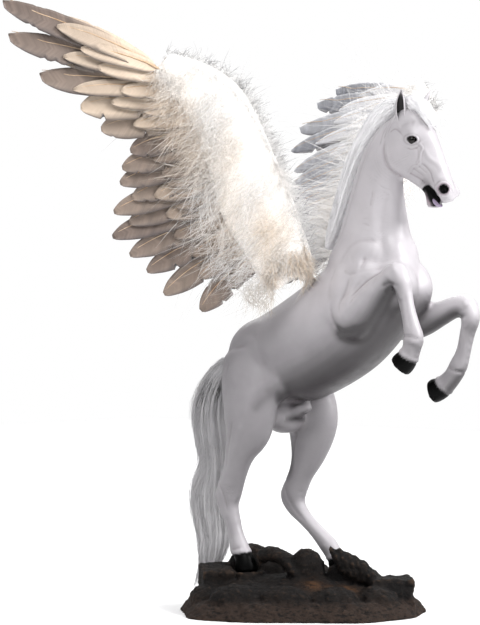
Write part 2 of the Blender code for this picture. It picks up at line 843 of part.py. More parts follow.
clear_scene()
pegasus = new_collection("pegasus")
cutters = new_collection("cutters")
cast_white = new_material("cast_white", (0.8, 0.79, 0.82), 0.45)
eye_glass = new_material("eye_glass", (0.01, 0.008, 0.008), 0.08)
steel = new_material("steel", (0.5, 0.5, 0.5), 0.35, 1.0)
board_grey = new_material("board_grey", (0.45, 0.42, 0.4), 0.7)
quill_grey = new_material("quill_grey", (0.42, 0.35, 0.31), 0.6)
down_white = new_material("down_white", (0.85, 0.8, 0.74), 0.95)
hair_cream = new_material("hair_cream", (0.8, 0.76, 0.72), 0.85)
rock_brown = new_material("rock_brown", (0.07, 0.045, 0.035), 0.85)

horse, horse_clearance = build_body()
build_eyes(horse)
build_mouth(horse)
rock = build_base(horse_clearance)
build_pins(horse, rock)
for wing, flight_feathers in (("right", right_feathers), ("left", left_feathers)):
    wing_plane = wing_axes(wing)
    peg_socket = build_board(wing, wing_plane, flight_feathers, horse)
    for flight_feather in flight_feathers:
        build_feather(wing, wing_plane, flight_feather)
    build_down(wing, wing_plane, horse_clearance, peg_socket)
build_hair("tail", tail_rows, horse_clearance)
build_hair("mane", mane_rows, horse_clearance)
build_hair("forelock", forelock_rows, horse_clearance)
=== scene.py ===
# Looks of the rearing winged horse: painted resin horse, real feathers and down, hair, rock base
import math
import bmesh
import bpy
import numpy as np
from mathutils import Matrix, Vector


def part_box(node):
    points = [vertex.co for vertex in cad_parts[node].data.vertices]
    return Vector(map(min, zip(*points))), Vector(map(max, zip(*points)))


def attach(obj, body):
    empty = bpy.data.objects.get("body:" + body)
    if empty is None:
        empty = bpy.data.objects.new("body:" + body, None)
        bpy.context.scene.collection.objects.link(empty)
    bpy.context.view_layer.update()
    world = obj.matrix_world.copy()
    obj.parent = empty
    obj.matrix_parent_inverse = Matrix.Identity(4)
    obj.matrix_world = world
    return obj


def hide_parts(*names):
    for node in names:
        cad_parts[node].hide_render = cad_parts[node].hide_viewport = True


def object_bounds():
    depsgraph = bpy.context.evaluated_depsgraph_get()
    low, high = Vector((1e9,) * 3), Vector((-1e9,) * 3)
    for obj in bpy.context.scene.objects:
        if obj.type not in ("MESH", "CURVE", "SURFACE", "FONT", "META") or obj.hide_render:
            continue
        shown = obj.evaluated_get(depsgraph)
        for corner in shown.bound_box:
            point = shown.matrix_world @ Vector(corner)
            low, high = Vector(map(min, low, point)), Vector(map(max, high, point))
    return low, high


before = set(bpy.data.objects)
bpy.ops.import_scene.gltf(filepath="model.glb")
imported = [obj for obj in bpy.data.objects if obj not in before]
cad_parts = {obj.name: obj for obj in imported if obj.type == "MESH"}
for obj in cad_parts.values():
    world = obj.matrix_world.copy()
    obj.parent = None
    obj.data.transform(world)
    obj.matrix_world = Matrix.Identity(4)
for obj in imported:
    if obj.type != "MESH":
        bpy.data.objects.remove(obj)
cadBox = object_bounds()

mm = 0.001
chance = np.random.default_rng(41)

# Camera at the photograph's place, 40 degrees round from straight ahead of the near side
shot = {"turn": 40, "distance": 2.3, "aimAlong": -0.0647, "aimUp": 0.3175, "lens": 125}


def aimCamera():
    turn = math.radians(shot["turn"])
    across = Vector((math.cos(turn), math.sin(turn), 0))
    ahead = Vector((-math.sin(turn), math.cos(turn), 0))
    aim = across * shot["aimAlong"] + Vector((0, 0, shot["aimUp"]))
    spot = aim - ahead * shot["distance"]
    bpy.ops.object.camera_add(location=spot, rotation=(math.pi / 2, 0, turn))
    camera = bpy.context.object
    camera.data.lens = shot["lens"]
    bpy.context.scene.camera = camera
    return across, ahead, aim


photoAcross, photoAhead, photoAim = aimCamera()
print("camera placed")


# Small helpers
def clearSelection():
    if bpy.context.object and bpy.context.object.mode != "OBJECT":
        bpy.ops.object.mode_set(mode="OBJECT")
    bpy.ops.object.select_all(action="DESELECT")


def pick(*pieces):
    clearSelection()
    for piece in pieces:
        piece.select_set(True)
    bpy.context.view_layer.objects.active = pieces[0]


def applyModifier(piece, kind, **settings):
    pick(piece)
    bpy.ops.object.modifier_add(type=kind)
    modifier = piece.modifiers[-1]
    for name, value in settings.items():
        setattr(modifier, name, value)
    bpy.ops.object.modifier_apply(modifier=modifier.name)


def joinPieces(pieces, name):
    pick(*pieces)
    bpy.ops.object.join()
    bpy.context.object.name = name
    return bpy.context.object


def setPlace(piece):
    pick(piece)
    bpy.ops.object.transform_apply(location=True, rotation=True, scale=True)


def pointsOf(piece):
    found = np.empty(len(piece.data.vertices) * 3)
    piece.data.vertices.foreach_get("co", found)
    return found.reshape(-1, 3)


def normalsOf(piece):
    found = np.empty(len(piece.data.vertices) * 3, np.float32)
    piece.data.vertex_normals.foreach_get("vector", found)
    return found.reshape(-1, 3).astype(float)


def setPoints(piece, points):
    piece.data.vertices.foreach_set("co", np.ascontiguousarray(points, np.float32).ravel())
    piece.data.update()


def paintPoints(piece, name, colours):
    layer = piece.data.attributes.new(name, "FLOAT_COLOR", "POINT")
    filled = np.column_stack([colours, np.ones(len(colours))])
    layer.data.foreach_set("color", np.ascontiguousarray(filled, np.float32).ravel())


def finishPiece(piece, material, slot, *nodes):
    piece.data.materials.clear()
    piece.data.materials.append(material)
    piece.data.shade_smooth()
    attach(piece, "root")
    if nodes:
        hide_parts(*nodes)


def smoothRows(rows, steps):
    # further rows on a Catmull-Rom curve
    points = np.array(rows, float)
    ends = np.vstack([2 * points[:1] - points[1:2], points, 2 * points[-1:] - points[-2:-1]])
    found = []
    for i in range(1, len(ends) - 2):
        a, b, c, d = ends[i - 1 : i + 3]
        for step in range(steps):
            t = step / steps
            square = (2 * a - 5 * b + 4 * c - d) * t**2
            cube = (3 * b - a - 3 * c + d) * t**3
            found.append(0.5 * (2 * b + (c - a) * t + square + cube))
    found.append(points[-1])
    return np.array(found)


def unit(vectors):
    return vectors / np.maximum(np.linalg.norm(vectors, axis=-1, keepdims=True), 1e-9)


def ramp(values, low, high):
    share = np.clip((values - low) / (high - low), 0, 1)
    return share * share * (3 - 2 * share)


# Extrudes a circle from ring to ring, closed at both ends
def tubeFromRings(name, rings):
    clearSelection()
    count = len(rings[0])
    bpy.ops.mesh.primitive_circle_add(vertices=count, radius=mm, fill_type="NGON")
    piece = bpy.context.object
    piece.name = name
    bpy.ops.object.mode_set(mode="EDIT")
    bpy.ops.mesh.select_all(action="SELECT")
    places = {i: i for i in range(count)}
    for number, ring in enumerate(rings):
        if number:
            bpy.ops.mesh.extrude_region()
        shape = bmesh.from_edit_mesh(piece.data)
        shape.verts.index_update()
        chosen = [vert for vert in shape.verts if vert.select]
        if number:
            fresh = {}
            for vert in chosen:
                for edge in vert.link_edges:
                    other = edge.other_vert(vert)
                    if not other.select:
                        fresh[vert.index] = places[other.index]
            places = fresh
        for vert in chosen:
            vert.co = ring[places[vert.index]]
    bpy.ops.mesh.select_all(action="SELECT")
    bpy.ops.mesh.normals_make_consistent(inside=False)
    bpy.ops.object.mode_set(mode="OBJECT")
    setPlace(piece)
    return piece


# Closed three-sided threads along many paths at once
def threadPiece(name, paths, radii, tones):
    count, steps, _ = paths.shape
    along = unit(np.gradient(paths, axis=1))
    side = unit(np.cross(along, np.array([0.31, 0.2, 0.93])))
    over = np.cross(along, side)
    corners = []
    for corner in range(3):
        angle = 2 * math.pi * corner / 3
        reach = side * math.cos(angle) + over * math.sin(angle)
        corners.append(paths + reach * radii[:, :, None])
    rings = np.stack(corners, axis=2)[:, :-1].reshape(count, -1, 3)
    points = np.concatenate([rings, paths[:, -1:]], axis=1)
    faces = [(0, 2, 1)]
    for ring in range(steps - 2):
        for corner in range(3):
            a = ring * 3 + corner
            b = ring * 3 + (corner + 1) % 3
            faces += [(a, b, b + 3), (a, b + 3, a + 3)]
    last = (steps - 2) * 3
    faces += [(last + c, last + (c + 1) % 3, last + 3) for c in range(3)]
    perThread = points.shape[1]
    faces = np.array(faces)[None] + (np.arange(count) * perThread)[:, None, None]
    faces = faces.reshape(-1, 3).astype(np.int32)
    mesh = bpy.data.meshes.new(name)
    mesh.vertices.add(count * perThread)
    mesh.vertices.foreach_set("co", points.astype(np.float32).ravel())
    mesh.loops.add(faces.size)
    mesh.loops.foreach_set("vertex_index", faces.ravel())
    mesh.polygons.add(len(faces))
    mesh.polygons.foreach_set("loop_start", np.arange(0, faces.size, 3, dtype=np.int32))
    mesh.update(calc_edges=True)
    piece = bpy.data.objects.new(name, mesh)
    bpy.context.scene.collection.objects.link(piece)
    shade = np.repeat(tones[:, :-1], 3, axis=1)
    paintPoints(piece, "tone", np.concatenate([shade, tones[:, -1:]], axis=1).reshape(-1, 3))
    return piece


# Materials. A Mix node has its share at input 0, its colours at 6 and 7, and its blend at output 2.
# A Map Range node has its value at input 0, the range it comes from at 1 and 2, and the new one at 3 and 4.
# A pattern's scale is this over its size in millimetres
perMetre = 1000


def fromHex(text):
    parts = [int(text[i : i + 2], 16) / 255 for i in (0, 2, 4)]
    return tuple(p / 12.92 if p <= 0.04045 else ((p + 0.055) / 1.055) ** 2.4 for p in parts) + (1,)


def addNode(material, kind, inputs=None, **settings):
    # a node given as an input stands for its first output
    node = material.node_tree.nodes.new("ShaderNode" + kind)
    for name, value in settings.items():
        setattr(node, name, value)
    for name, value in (inputs or {}).items():
        source = value.outputs[0] if isinstance(value, bpy.types.Node) else value
        if isinstance(source, bpy.types.NodeSocket):
            material.node_tree.links.new(source, node.inputs[name])
        else:
            node.inputs[name].default_value = source
    return node


def newMaterial(name, **values):
    material = bpy.data.materials.new(name)
    material.use_nodes = True
    shader = material.node_tree.nodes["Principled BSDF"]
    for socket, value in values.items():
        shader.inputs[socket.replace("_", " ")].default_value = value
    return material, shader


def feed(material, shader, sources):
    for socket, value in sources.items():
        source = value.outputs[0] if isinstance(value, bpy.types.Node) else value
        material.node_tree.links.new(source, shader.inputs[socket])


def layColours(material, base, layers):
    # each colour lies over what is beneath it, by its share
    below = fromHex(base) if isinstance(base, str) else base
    for share, colour in layers:
        above = fromHex(colour) if isinstance(colour, str) else colour
        mixed = addNode(material, "Mix", {0: share, 6: below, 7: above}, data_type="RGBA")
        below = mixed.outputs[2]
    return below


# Cast resin under satin white paint: soft broad highlights, grey painted shade in folds, creases and under
# the body, black hooves
def makeResin():
    material, shader = newMaterial("satinPaintedResin", IOR=1.5)
    place = addNode(material, "TexCoord").outputs["Object"]
    coat = addNode(material, "Attribute", attribute_name="coat")
    black, paintedShade, flesh = addNode(material, "SeparateColor", {"Color": coat}).outputs[:3]
    cloudy = addNode(material, "TexNoise", {"Vector": place, "Scale": perMetre / 34, "Detail": 3})
    patches = addNode(material, "MapRange", {0: cloudy, 1: 0.35, 2: 0.7})
    hollow = addNode(material, "NewGeometry").outputs["Pointiness"]
    # darker grey where the surface is hollow, by pointiness: painted shade in creases
    creaseShade = addNode(material, "MapRange", {0: hollow, 1: 0.5, 2: 0.44})
    white = layColours(material, "b8b4b8", [(patches, "aca8ac"), (creaseShade, "7d7377")])
    # the coat's second channel is painted shade, laid near black over the white
    painted = layColours(material, white, [(paintedShade, "201b1e"), (flesh, "6e3f5c"), (black, "020202")])
    shine = addNode(material, "MapRange", {0: black, 3: 0.5, 4: 0.08})
    # combed strokes of the coat, 1.3 mm apart, slanting back and down
    turn = (0, math.radians(-35), 0)
    slant = addNode(material, "Mapping", {"Vector": place, "Rotation": turn, "Scale": (0.16, 0.5, 1)})
    strokes = addNode(material, "TexNoise", {"Vector": slant, "Scale": perMetre / 1.3, "Detail": 2})
    uneven = addNode(material, "TexNoise", {"Vector": place, "Scale": perMetre / 9, "Detail": 3})
    gloss = addNode(material, "MapRange", {0: uneven, 1: 0.3, 2: 0.7, 3: 0.36, 4: 0.5})
    relief = addNode(material, "Bump", {"Height": strokes, "Distance": 0.0003, "Strength": 0.35})
    feed(material, shader, {"Base Color": painted, "Roughness": gloss, "Normal": relief})
    feed(material, shader, {"Specular IOR Level": shine})
    return material


# Goose flight feather: dull barbs that lie slantwise from the shaft, warm outside and slate inside
def makeVane():
    material, shader = newMaterial("gooseVane", Roughness=0.55, Sheen_Weight=0.25, IOR=1.54)
    tone = addNode(material, "Attribute", attribute_name="tone")
    inner, pale, edge = addNode(material, "SeparateColor", {"Color": tone}).outputs[:3]
    sheet = addNode(material, "UVMap", uv_map="barbs")
    drawn = addNode(material, "Mapping", {"Vector": sheet, "Scale": (1, 0.05, 1)})
    # real barbs lie closer together than 0.8 mm, which still shows in the render
    barbs = addNode(material, "TexNoise", {"Vector": drawn, "Scale": perMetre / 0.8, "Detail": 2})
    streaks = addNode(material, "TexNoise", {"Vector": drawn, "Scale": perMetre / 9, "Detail": 3})
    broad = addNode(material, "MapRange", {0: streaks, 1: 0.3, 2: 0.7})
    warm = layColours(material, "4f433d", [(broad, "7d6c62")])
    cool = layColours(material, "3b3e48", [(broad, "9497a2")])
    lightest = layColours(material, "d3bfa9", [(inner, "eae9ee")])
    shaded = addNode(material, "MapRange", {0: edge, 1: 0.55, 2: 1, 4: 0.75})
    lines = addNode(material, "MapRange", {0: barbs, 1: 0.35, 2: 0.65, 4: 0.22})
    layers = [(inner, cool), (pale, lightest), (shaded, "3d383b"), (lines, "4d4340")]
    relief = addNode(material, "Bump", {"Height": barbs, "Distance": 0.00025, "Strength": 0.6})
    feed(material, shader, {"Base Color": layColours(material, warm, layers), "Normal": relief})
    return material


# Feather shaft: smooth horn, tan and slightly glossy
def makeShaft():
    material, shader = newMaterial("hornShaft", Roughness=0.38, IOR=1.54)
    place = addNode(material, "TexCoord").outputs["Object"]
    cloudy = addNode(material, "TexNoise", {"Vector": place, "Scale": perMetre / 12, "Detail": 3})
    mottled = addNode(material, "MapRange", {0: cloudy, 1: 0.3, 2: 0.7})
    feed(material, shader, {"Base Color": layColours(material, "a98562", [(mottled, "d8bfa3")])})
    return material


# Marabou down: loose white barbs, cream in the middle of the arm and near black at the front edge
def makeDown(name, cover):
    material, shader = newMaterial(name, Roughness=0.85, Sheen_Weight=0.5, Alpha=cover, IOR=1.4)
    tone = addNode(material, "Attribute", attribute_name="tone")
    dark, warm, stray = addNode(material, "SeparateColor", {"Color": tone}).outputs[:3]
    place = addNode(material, "TexCoord").outputs["Object"]
    cloudy = addNode(material, "TexNoise", {"Vector": place, "Scale": perMetre / 7, "Detail": 3})
    clumps = addNode(material, "MapRange", {0: cloudy, 1: 0.35, 2: 0.65, 4: 0.3})
    layers = [(stray, "faf8f7"), (clumps, "fbf8f6"), (warm, "f3d9b8"), (dark, "34343c")]
    feed(material, shader, {"Base Color": layColours(material, "ffffff", layers)})
    return material


# Combed wool hair: fine white strands, greyer and warmer towards the tail's end
def makeHair():
    material, shader = newMaterial("combedHair", Roughness=0.6, Sheen_Weight=0.3, IOR=1.5)
    tone = addNode(material, "Attribute", attribute_name="tone")
    dark, warm, stray = addNode(material, "SeparateColor", {"Color": tone}).outputs[:3]
    place = addNode(material, "TexCoord").outputs["Object"]
    cloudy = addNode(material, "TexNoise", {"Vector": place, "Scale": perMetre / 10, "Detail": 3})
    tufts = addNode(material, "MapRange", {0: cloudy, 1: 0.35, 2: 0.65, 4: 0.6})
    layers = [(stray, "f1eff2"), (tufts, "f6f5f8"), (warm, "a99d98"), (dark, "55535c")]
    feed(material, shader, {"Base Color": layColours(material, "ffffff", layers)})
    return material


# Cast stone and bark, stained near black and dry brushed with tan: dull, with grit
def makeRock():
    material, shader = newMaterial("stainedCastStone", Specular_IOR_Level=0.22, IOR=1.5)
    place = addNode(material, "TexCoord").outputs["Object"]
    tone = addNode(material, "Attribute", attribute_name="tone")
    bark, tan, skirt = addNode(material, "SeparateColor", {"Color": tone}).outputs[:3]
    cloudy = addNode(material, "TexNoise", {"Vector": place, "Scale": perMetre / 30, "Detail": 4})
    patches = addNode(material, "MapRange", {0: cloudy, 1: 0.35, 2: 0.65})
    peak = addNode(material, "NewGeometry").outputs["Pointiness"]
    worn = addNode(material, "MapRange", {0: peak, 1: 0.52, 2: 0.62, 4: 0.6})
    pits = addNode(material, "MapRange", {0: peak, 1: 0.49, 2: 0.42, 4: 0.85})
    layered = addNode(material, "Mapping", {"Vector": place, "Scale": (1, 1, 2.4)})
    rough = {"Vector": layered, "Scale": perMetre / 7, "Detail": 8, "Roughness": 0.72}
    fine = {"Vector": place, "Scale": perMetre / 1.6, "Detail": 5, "Roughness": 0.65}
    wrinkles = addNode(material, "TexNoise", rough)
    grit = addNode(material, "TexNoise", fine)
    sunk = addNode(material, "MapRange", {0: wrinkles, 1: 0.5, 2: 0.4, 4: 0.85})
    dull = addNode(material, "MapRange", {0: grit, 1: 0.3, 2: 0.7, 3: 0.6, 4: 0.9})
    height = addNode(material, "Math", {0: wrinkles, 1: grit}, operation="ADD")
    relief = addNode(material, "Bump", {"Height": height, "Distance": 0.0016, "Strength": 1.0})
    stain = [(patches, "1a130f"), (skirt, "30251f"), (bark, "0f0c0c"), (tan, "6b4a2f")]
    wear = [(worn, "5c483a"), (pits, "080606"), (sunk, "050404")]
    stained = layColours(material, "070505", stain + wear)
    feed(material, shader, {"Base Color": stained, "Roughness": dull, "Normal": relief})
    return material


# Glass eye: clear hard gloss over a dark brown iris
def makeEye():
    material, shader = newMaterial("glassEye", Roughness=0.05, IOR=1.5, Specular_IOR_Level=0.35)
    tone = addNode(material, "Attribute", attribute_name="tone")
    iris = addNode(material, "SeparateColor", {"Color": tone}).outputs[0]
    place = addNode(material, "TexCoord").outputs["Object"]
    flecks = addNode(material, "TexNoise", {"Vector": place, "Scale": perMetre / 0.7, "Detail": 3})
    brown = layColours(material, "0a0605", [(flecks, "160c08")])
    feed(material, shader, {"Base Color": layColours(material, "020202", [(iris, brown)])})
    return material


# Drawn steel rod: fine marks along its length
def makeSteel():
    material, shader = newMaterial("drawnSteel", Metallic=1.0)
    place = addNode(material, "TexCoord").outputs["Object"]
    drawn = addNode(material, "Mapping", {"Vector": place, "Scale": (1, 1, 0.05)})
    marks = addNode(material, "TexNoise", {"Vector": drawn, "Scale": perMetre / 0.4, "Detail": 3})
    gloss = addNode(material, "MapRange", {0: marks, 1: 0.3, 2: 0.7, 3: 0.25, 4: 0.42})
    grey = layColours(material, "9a9a9c", [(marks, "c4c4c6")])
    feed(material, shader, {"Base Color": grey, "Roughness": gloss})
    return material


# Grey fibreboard of the wing's arm: matt, with pressed fibres
def makeBoard():
    material, shader = newMaterial("pressedFibreboard", Roughness=0.8, IOR=1.5)
    place = addNode(material, "TexCoord").outputs["Object"]
    felted = {"Vector": place, "Scale": perMetre / 2.2, "Detail": 4, "Roughness": 0.6}
    fibres = addNode(material, "TexNoise", felted)
    relief = addNode(material, "Bump", {"Height": fibres, "Distance": 0.0002, "Strength": 0.5})
    grey = layColours(material, "8c857f", [(fibres, "b7b0a9")])
    feed(material, shader, {"Base Color": grey, "Normal": relief})
    return material


# Painted flesh of the mouth: wet lilac over dark purple
def makeTongue():
    material, shader = newMaterial("glossyFleshPaint", Roughness=0.25, IOR=1.45)
    place = addNode(material, "TexCoord").outputs["Object"]
    mottle = addNode(material, "TexNoise", {"Vector": place, "Scale": perMetre / 2.4, "Detail": 3})
    relief = addNode(material, "Bump", {"Height": mottle, "Distance": 0.0002, "Strength": 0.4})
    lilac = layColours(material, "8d7d98", [(mottle, "b5a8bf")])
    feed(material, shader, {"Base Color": lilac, "Normal": relief})
    return material


resin = makeResin()
vane = makeVane()
shaft = makeShaft()
down = makeDown("marabouDown", 0.5)
pillow = makeDown("downPillow", 1.0)
hair = makeHair()
rock = makeRock()
glass = makeEye()
steel = makeSteel()
board = makeBoard()
tongue = makeTongue()
print("materials made")

# The horse. Slabs: top x, z, bottom x, z, half width, pinch above and below
# Limbs: x, y, z, depth, width
horseForm = {
    "voxel": 1.9 * mm,
    "ringPoints": 28,
    "stationSteps": 4,
    "bodyRelax": 22,
    "headRelax": 6,
    "slabs": [
        [
            (-88, 250, -82, 228, 14, 1.0, 1.0),
            (-86, 264, -70, 212, 28, 0.9, 1.0),
            (-75, 288, -42, 214, 39, 0.8, 1.0),
            (-55, 309, -14, 226, 43, 0.8, 0.9),
            (-28, 324, 18, 226, 44, 0.9, 0.8),
            (0, 340, 50, 238, 46, 1.0, 0.8),
            (25, 356, 84, 256, 46, 1.1, 0.8),
            (44, 370, 110, 276, 43, 1.4, 0.8),
            (62, 382, 132, 300, 41, 1.2, 0.8),
            (84, 386, 147, 320, 38, 1.0, 0.8),
            (106, 380, 152, 334, 31, 0.9, 0.9),
            (122, 366, 153, 344, 20, 1.0, 1.0),
        ],
        [
            (36, 360, 134, 308, 36, 1.4, 0.8),
            (40, 378, 149, 336, 34, 1.5, 0.7),
            (51, 398, 148, 364, 29, 1.5, 0.7),
            (60, 424, 139, 394, 23, 1.5, 0.8),
            (70, 454, 133, 424, 18, 1.4, 0.8),
            (82, 482, 130, 448, 16, 1.3, 0.8),
            (98, 503, 129, 464, 14.5, 1.2, 0.8),
            (116, 515, 134, 484, 13, 1.1, 0.9),
            (130, 519, 142, 500, 11, 1.0, 1.0),
        ],
        [
            (120, 516, 110, 494, 9, 1.0, 1.0),
            (137, 526, 111, 480, 14, 0.8, 0.8),
            (152, 524, 113, 470, 16.5, 0.8, 0.8),
            (165, 511, 119, 458, 17, 0.8, 0.9),
            (174, 494, 134, 455, 14.5, 0.8, 1.0),
            (181, 478, 150, 454, 12, 0.9, 1.0),
            (187, 462, 163, 448, 10.5, 0.9, 0.9),
            (193, 449, 172, 438, 11, 0.8, 0.8),
            (197, 439, 179, 431, 10.5, 0.8, 0.8),
            (194, 430, 183, 427, 7, 1.0, 1.0),
        ],
        [
            (140, 472, 118, 466, 12, 1.0, 1.0),
            (150, 460, 133, 456, 11, 1.0, 1.0),
            (158, 453, 146, 449, 9, 1.0, 1.0),
            (164, 447, 156, 443, 8, 0.9, 0.9),
            (168, 441, 162, 438, 7.5, 0.9, 0.9),
            (172, 434, 164, 431, 7.5, 0.9, 0.9),
            (177, 428, 167, 425, 7, 0.9, 0.9),
            (181, 425, 172, 422, 5, 1.0, 1.0),
        ],
    ],
    "limbs": [
        [
            (86, -30, 330, 26, 12),
            (92, -34, 312, 25, 15),
            (108, -36, 322, 20, 14),
            (126, -36, 338, 14.5, 12),
            (140, -36, 350, 11, 10.5),
            (149, -36, 358, 11, 10.5),
            (157, -36, 350, 10.5, 10.5),
            (160, -36, 338, 9, 8.5),
            (164, -36, 322, 8.3, 7.5),
            (169, -36, 304, 9.5, 8),
            (172, -36, 292, 11, 9.5),
            (169, -36, 281, 10, 8.8),
            (165, -36, 273, 11.5, 10.3),
            (159, -36, 267, 12.8, 11.5),
            (155, -36, 263, 13, 12),
        ],
        [
            (96, 30, 322, 24, 12),
            (112, 34, 310, 22, 15),
            (132, 35, 310, 18.5, 14),
            (154, 35, 316, 13.5, 12),
            (173, 35, 323, 11.5, 10.5),
            (187, 35, 324, 11.5, 10.5),
            (192, 35, 311, 10, 10),
            (188, 35, 297, 8.6, 8),
            (183, 35, 277, 8.4, 7.4),
            (177, 35, 263, 10.5, 9),
            (170, 35, 252, 10, 9),
            (160, 35, 243, 11.5, 10.3),
            (152, 35, 238.5, 12.5, 11.5),
            (144, 35, 236, 13.5, 12),
        ],
        [
            (-48, -26, 275, 34, 18),
            (-44, -31, 245, 37, 20),
            (-42, -34, 218, 34, 19),
            (-46, -34, 192, 29.5, 17),
            (-57, -33, 168, 18.5, 13),
            (-66, -31, 146, 15, 11),
            (-75, -30, 123, 16.5, 10),
            (-75, -30, 111, 12.5, 8.8),
            (-70, -30, 95, 9.8, 8),
            (-65, -30, 80, 9.8, 8),
            (-60, -30, 67, 11.3, 9.5),
            (-54, -30, 58, 10.5, 9.5),
            (-51, -30, 50, 13, 11.5),
            (-50, -30, 41, 14.5, 12.5),
        ],
        [
            (-38, 26, 266, 34, 18),
            (-26, 31, 238, 36, 20),
            (-13, 34, 212, 33, 19),
            (-12, 34, 190, 30, 17),
            (-17, 33, 164, 21.5, 13),
            (-25, 31, 143, 15, 10.5),
            (-34, 30, 121, 16, 10),
            (-31, 30, 109, 12.5, 9),
            (-19, 30, 97, 9.2, 7.8),
            (-3, 30, 84, 8.7, 7.8),
            (13, 30, 70, 10.5, 9.2),
            (22, 30, 59, 10, 9),
            (28, 30, 50, 12.5, 11.5),
            (31, 30, 41, 14.5, 12.5),
        ],
    ],
    # centre x, y, z, radii x, y, z, turn about y; each with a twin at -y
    "pairedLumps": [
        (128, 14, 341, 29, 20, 31, 20),
        (121, 11, 366, 21, 14, 32, 16),
        (82, 23, 344, 22, 14, 40, 32),
        (66, 27, 314, 26, 18, 28, -20),
        (154, 11.5, 494, 10, 6.5, 8, 35),
        (136, 9, 481, 20, 7.5, 22, 0),
        (190, 6, 438, 7.5, 6, 6.5, 0),
        (-48, 18, 284, 36, 22, 24, -34),
        (-62, 23, 254, 23, 19, 34, 16),
        (-22, 27, 252, 30, 17, 34, -30),
    ],
    "singleLumps": [
        (-2, -1, 213, 15, 8, 7.5, -23),
        (9, -1, 217, 6.5, 6.5, 6.5, 0),
        (-25, 3, 207, 20, 26, 19, 0),
        (167, 0, 428, 4.5, 5.5, 5, 0),
    ],
    # the open mouth in x and z, cut from each side up to a middle wall
    "mouth": [(163, 447), (170, 445), (177, 441), (185, 428), (174, 426), (168, 435)],
    "mouthWall": 3.0,
    "mouthHalf": 17,
    # the head is split once more, for lids, veins and lips
    "headFrom": (104, 418),
}


def slabRings(stations):
    rings = []
    points = horseForm["ringPoints"]
    for tx, tz, bx, bz, half, above, below in smoothRows(stations, horseForm["stationSteps"]):
        centre = Vector(((tx + bx) / 2, 0, (tz + bz) / 2)) * mm
        up = Vector(((tx - bx) / 2, 0, (tz - bz) / 2)) * mm
        ring = []
        for i in range(points):
            angle = 2 * math.pi * i / points
            rise, reach = math.sin(angle), math.cos(angle)
            pinch = above if rise > 0 else below
            side = math.copysign(abs(reach) ** pinch, reach) * half * mm
            ring.append(centre + up * rise + Vector((0, side, 0)))
        rings.append(ring)
    return rings


def limbRings(stations, points, steps, ripple=None):
    rows = smoothRows(stations, steps)
    places = rows[:, :3] * mm
    tangents = unit(np.gradient(places, axis=0))
    rings = []
    for number, (place, tangent, row) in enumerate(zip(places, tangents, rows)):
        along = Vector(tangent)
        side = Vector((0, 1, 0))
        side = (side - along * side.dot(along)).normalized()
        front = side.cross(along)
        ring = []
        for i in range(points):
            angle = 2 * math.pi * i / points
            swell = ripple(angle, number) if ripple else 1.0
            reach = front * math.cos(angle) * row[3] + side * math.sin(angle) * row[4]
            ring.append(Vector(place) + reach * swell * mm)
        rings.append(ring)
    return rings


def addLump(lump, mirror):
    x, y, z, rx, ry, rz, turn = lump
    clearSelection()
    bpy.ops.mesh.primitive_uv_sphere_add(
        segments=24,
        ring_count=14,
        radius=1,
        location=(x * mm, y * mirror * mm, z * mm),
        rotation=(0, math.radians(turn), 0),
        scale=(rx * mm, ry * mm, rz * mm),
    )
    return bpy.context.object


def addPrism(name, corners, start, end):
    # a flat outline in x and z, thickened from one y to another
    clearSelection()
    bpy.ops.mesh.primitive_circle_add(vertices=len(corners), radius=mm, fill_type="NGON")
    piece = bpy.context.object
    piece.name = name
    for vert, (x, z) in zip(piece.data.vertices, corners):
        vert.co = Vector((x, start, z)) * mm
    bpy.ops.object.mode_set(mode="EDIT")
    bpy.ops.mesh.select_all(action="SELECT")
    bpy.ops.mesh.extrude_region_move(TRANSFORM_OT_translate={"value": (0, (end - start) * mm, 0)})
    bpy.ops.mesh.select_all(action="SELECT")
    bpy.ops.mesh.normals_make_consistent(inside=False)
    bpy.ops.object.mode_set(mode="OBJECT")
    return piece


def buildHorseForm():
    parts = [tubeFromRings("slab", slabRings(slab)) for slab in horseForm["slabs"]]
    for limb in horseForm["limbs"]:
        rings = limbRings(limb, horseForm["ringPoints"], horseForm["stationSteps"])
        parts.append(tubeFromRings("limb", rings))
    for lump in horseForm["pairedLumps"]:
        parts += [addLump(lump, 1), addLump(lump, -1)]
    parts += [addLump(lump, 1) for lump in horseForm["singleLumps"]]
    horse = joinPieces(parts, "horse")
    setPlace(horse)
    applyModifier(horse, "REMESH", mode="VOXEL", voxel_size=horseForm["voxel"])
    wall, cheek = horseForm["mouthWall"], horseForm["mouthHalf"]
    for start, end in ((-cheek, -wall), (wall, cheek)):
        wedge = addPrism("mouthWedge", horseForm["mouth"], start, end)
        applyModifier(horse, "BOOLEAN", operation="DIFFERENCE", solver="EXACT", object=wedge)
        bpy.data.objects.remove(wedge)
    applyModifier(horse, "REMESH", mode="VOXEL", voxel_size=horseForm["voxel"])
    relaxHorse(horse)
    return horse


def headShare(points):
    headX, headZ = horseForm["headFrom"]
    x, z = points[:, 0] / mm, points[:, 2] / mm
    return ramp(z + 0.9 * (x - headX), headZ + 20, headZ + 52) * ramp(x, headX - 4, headX + 8)


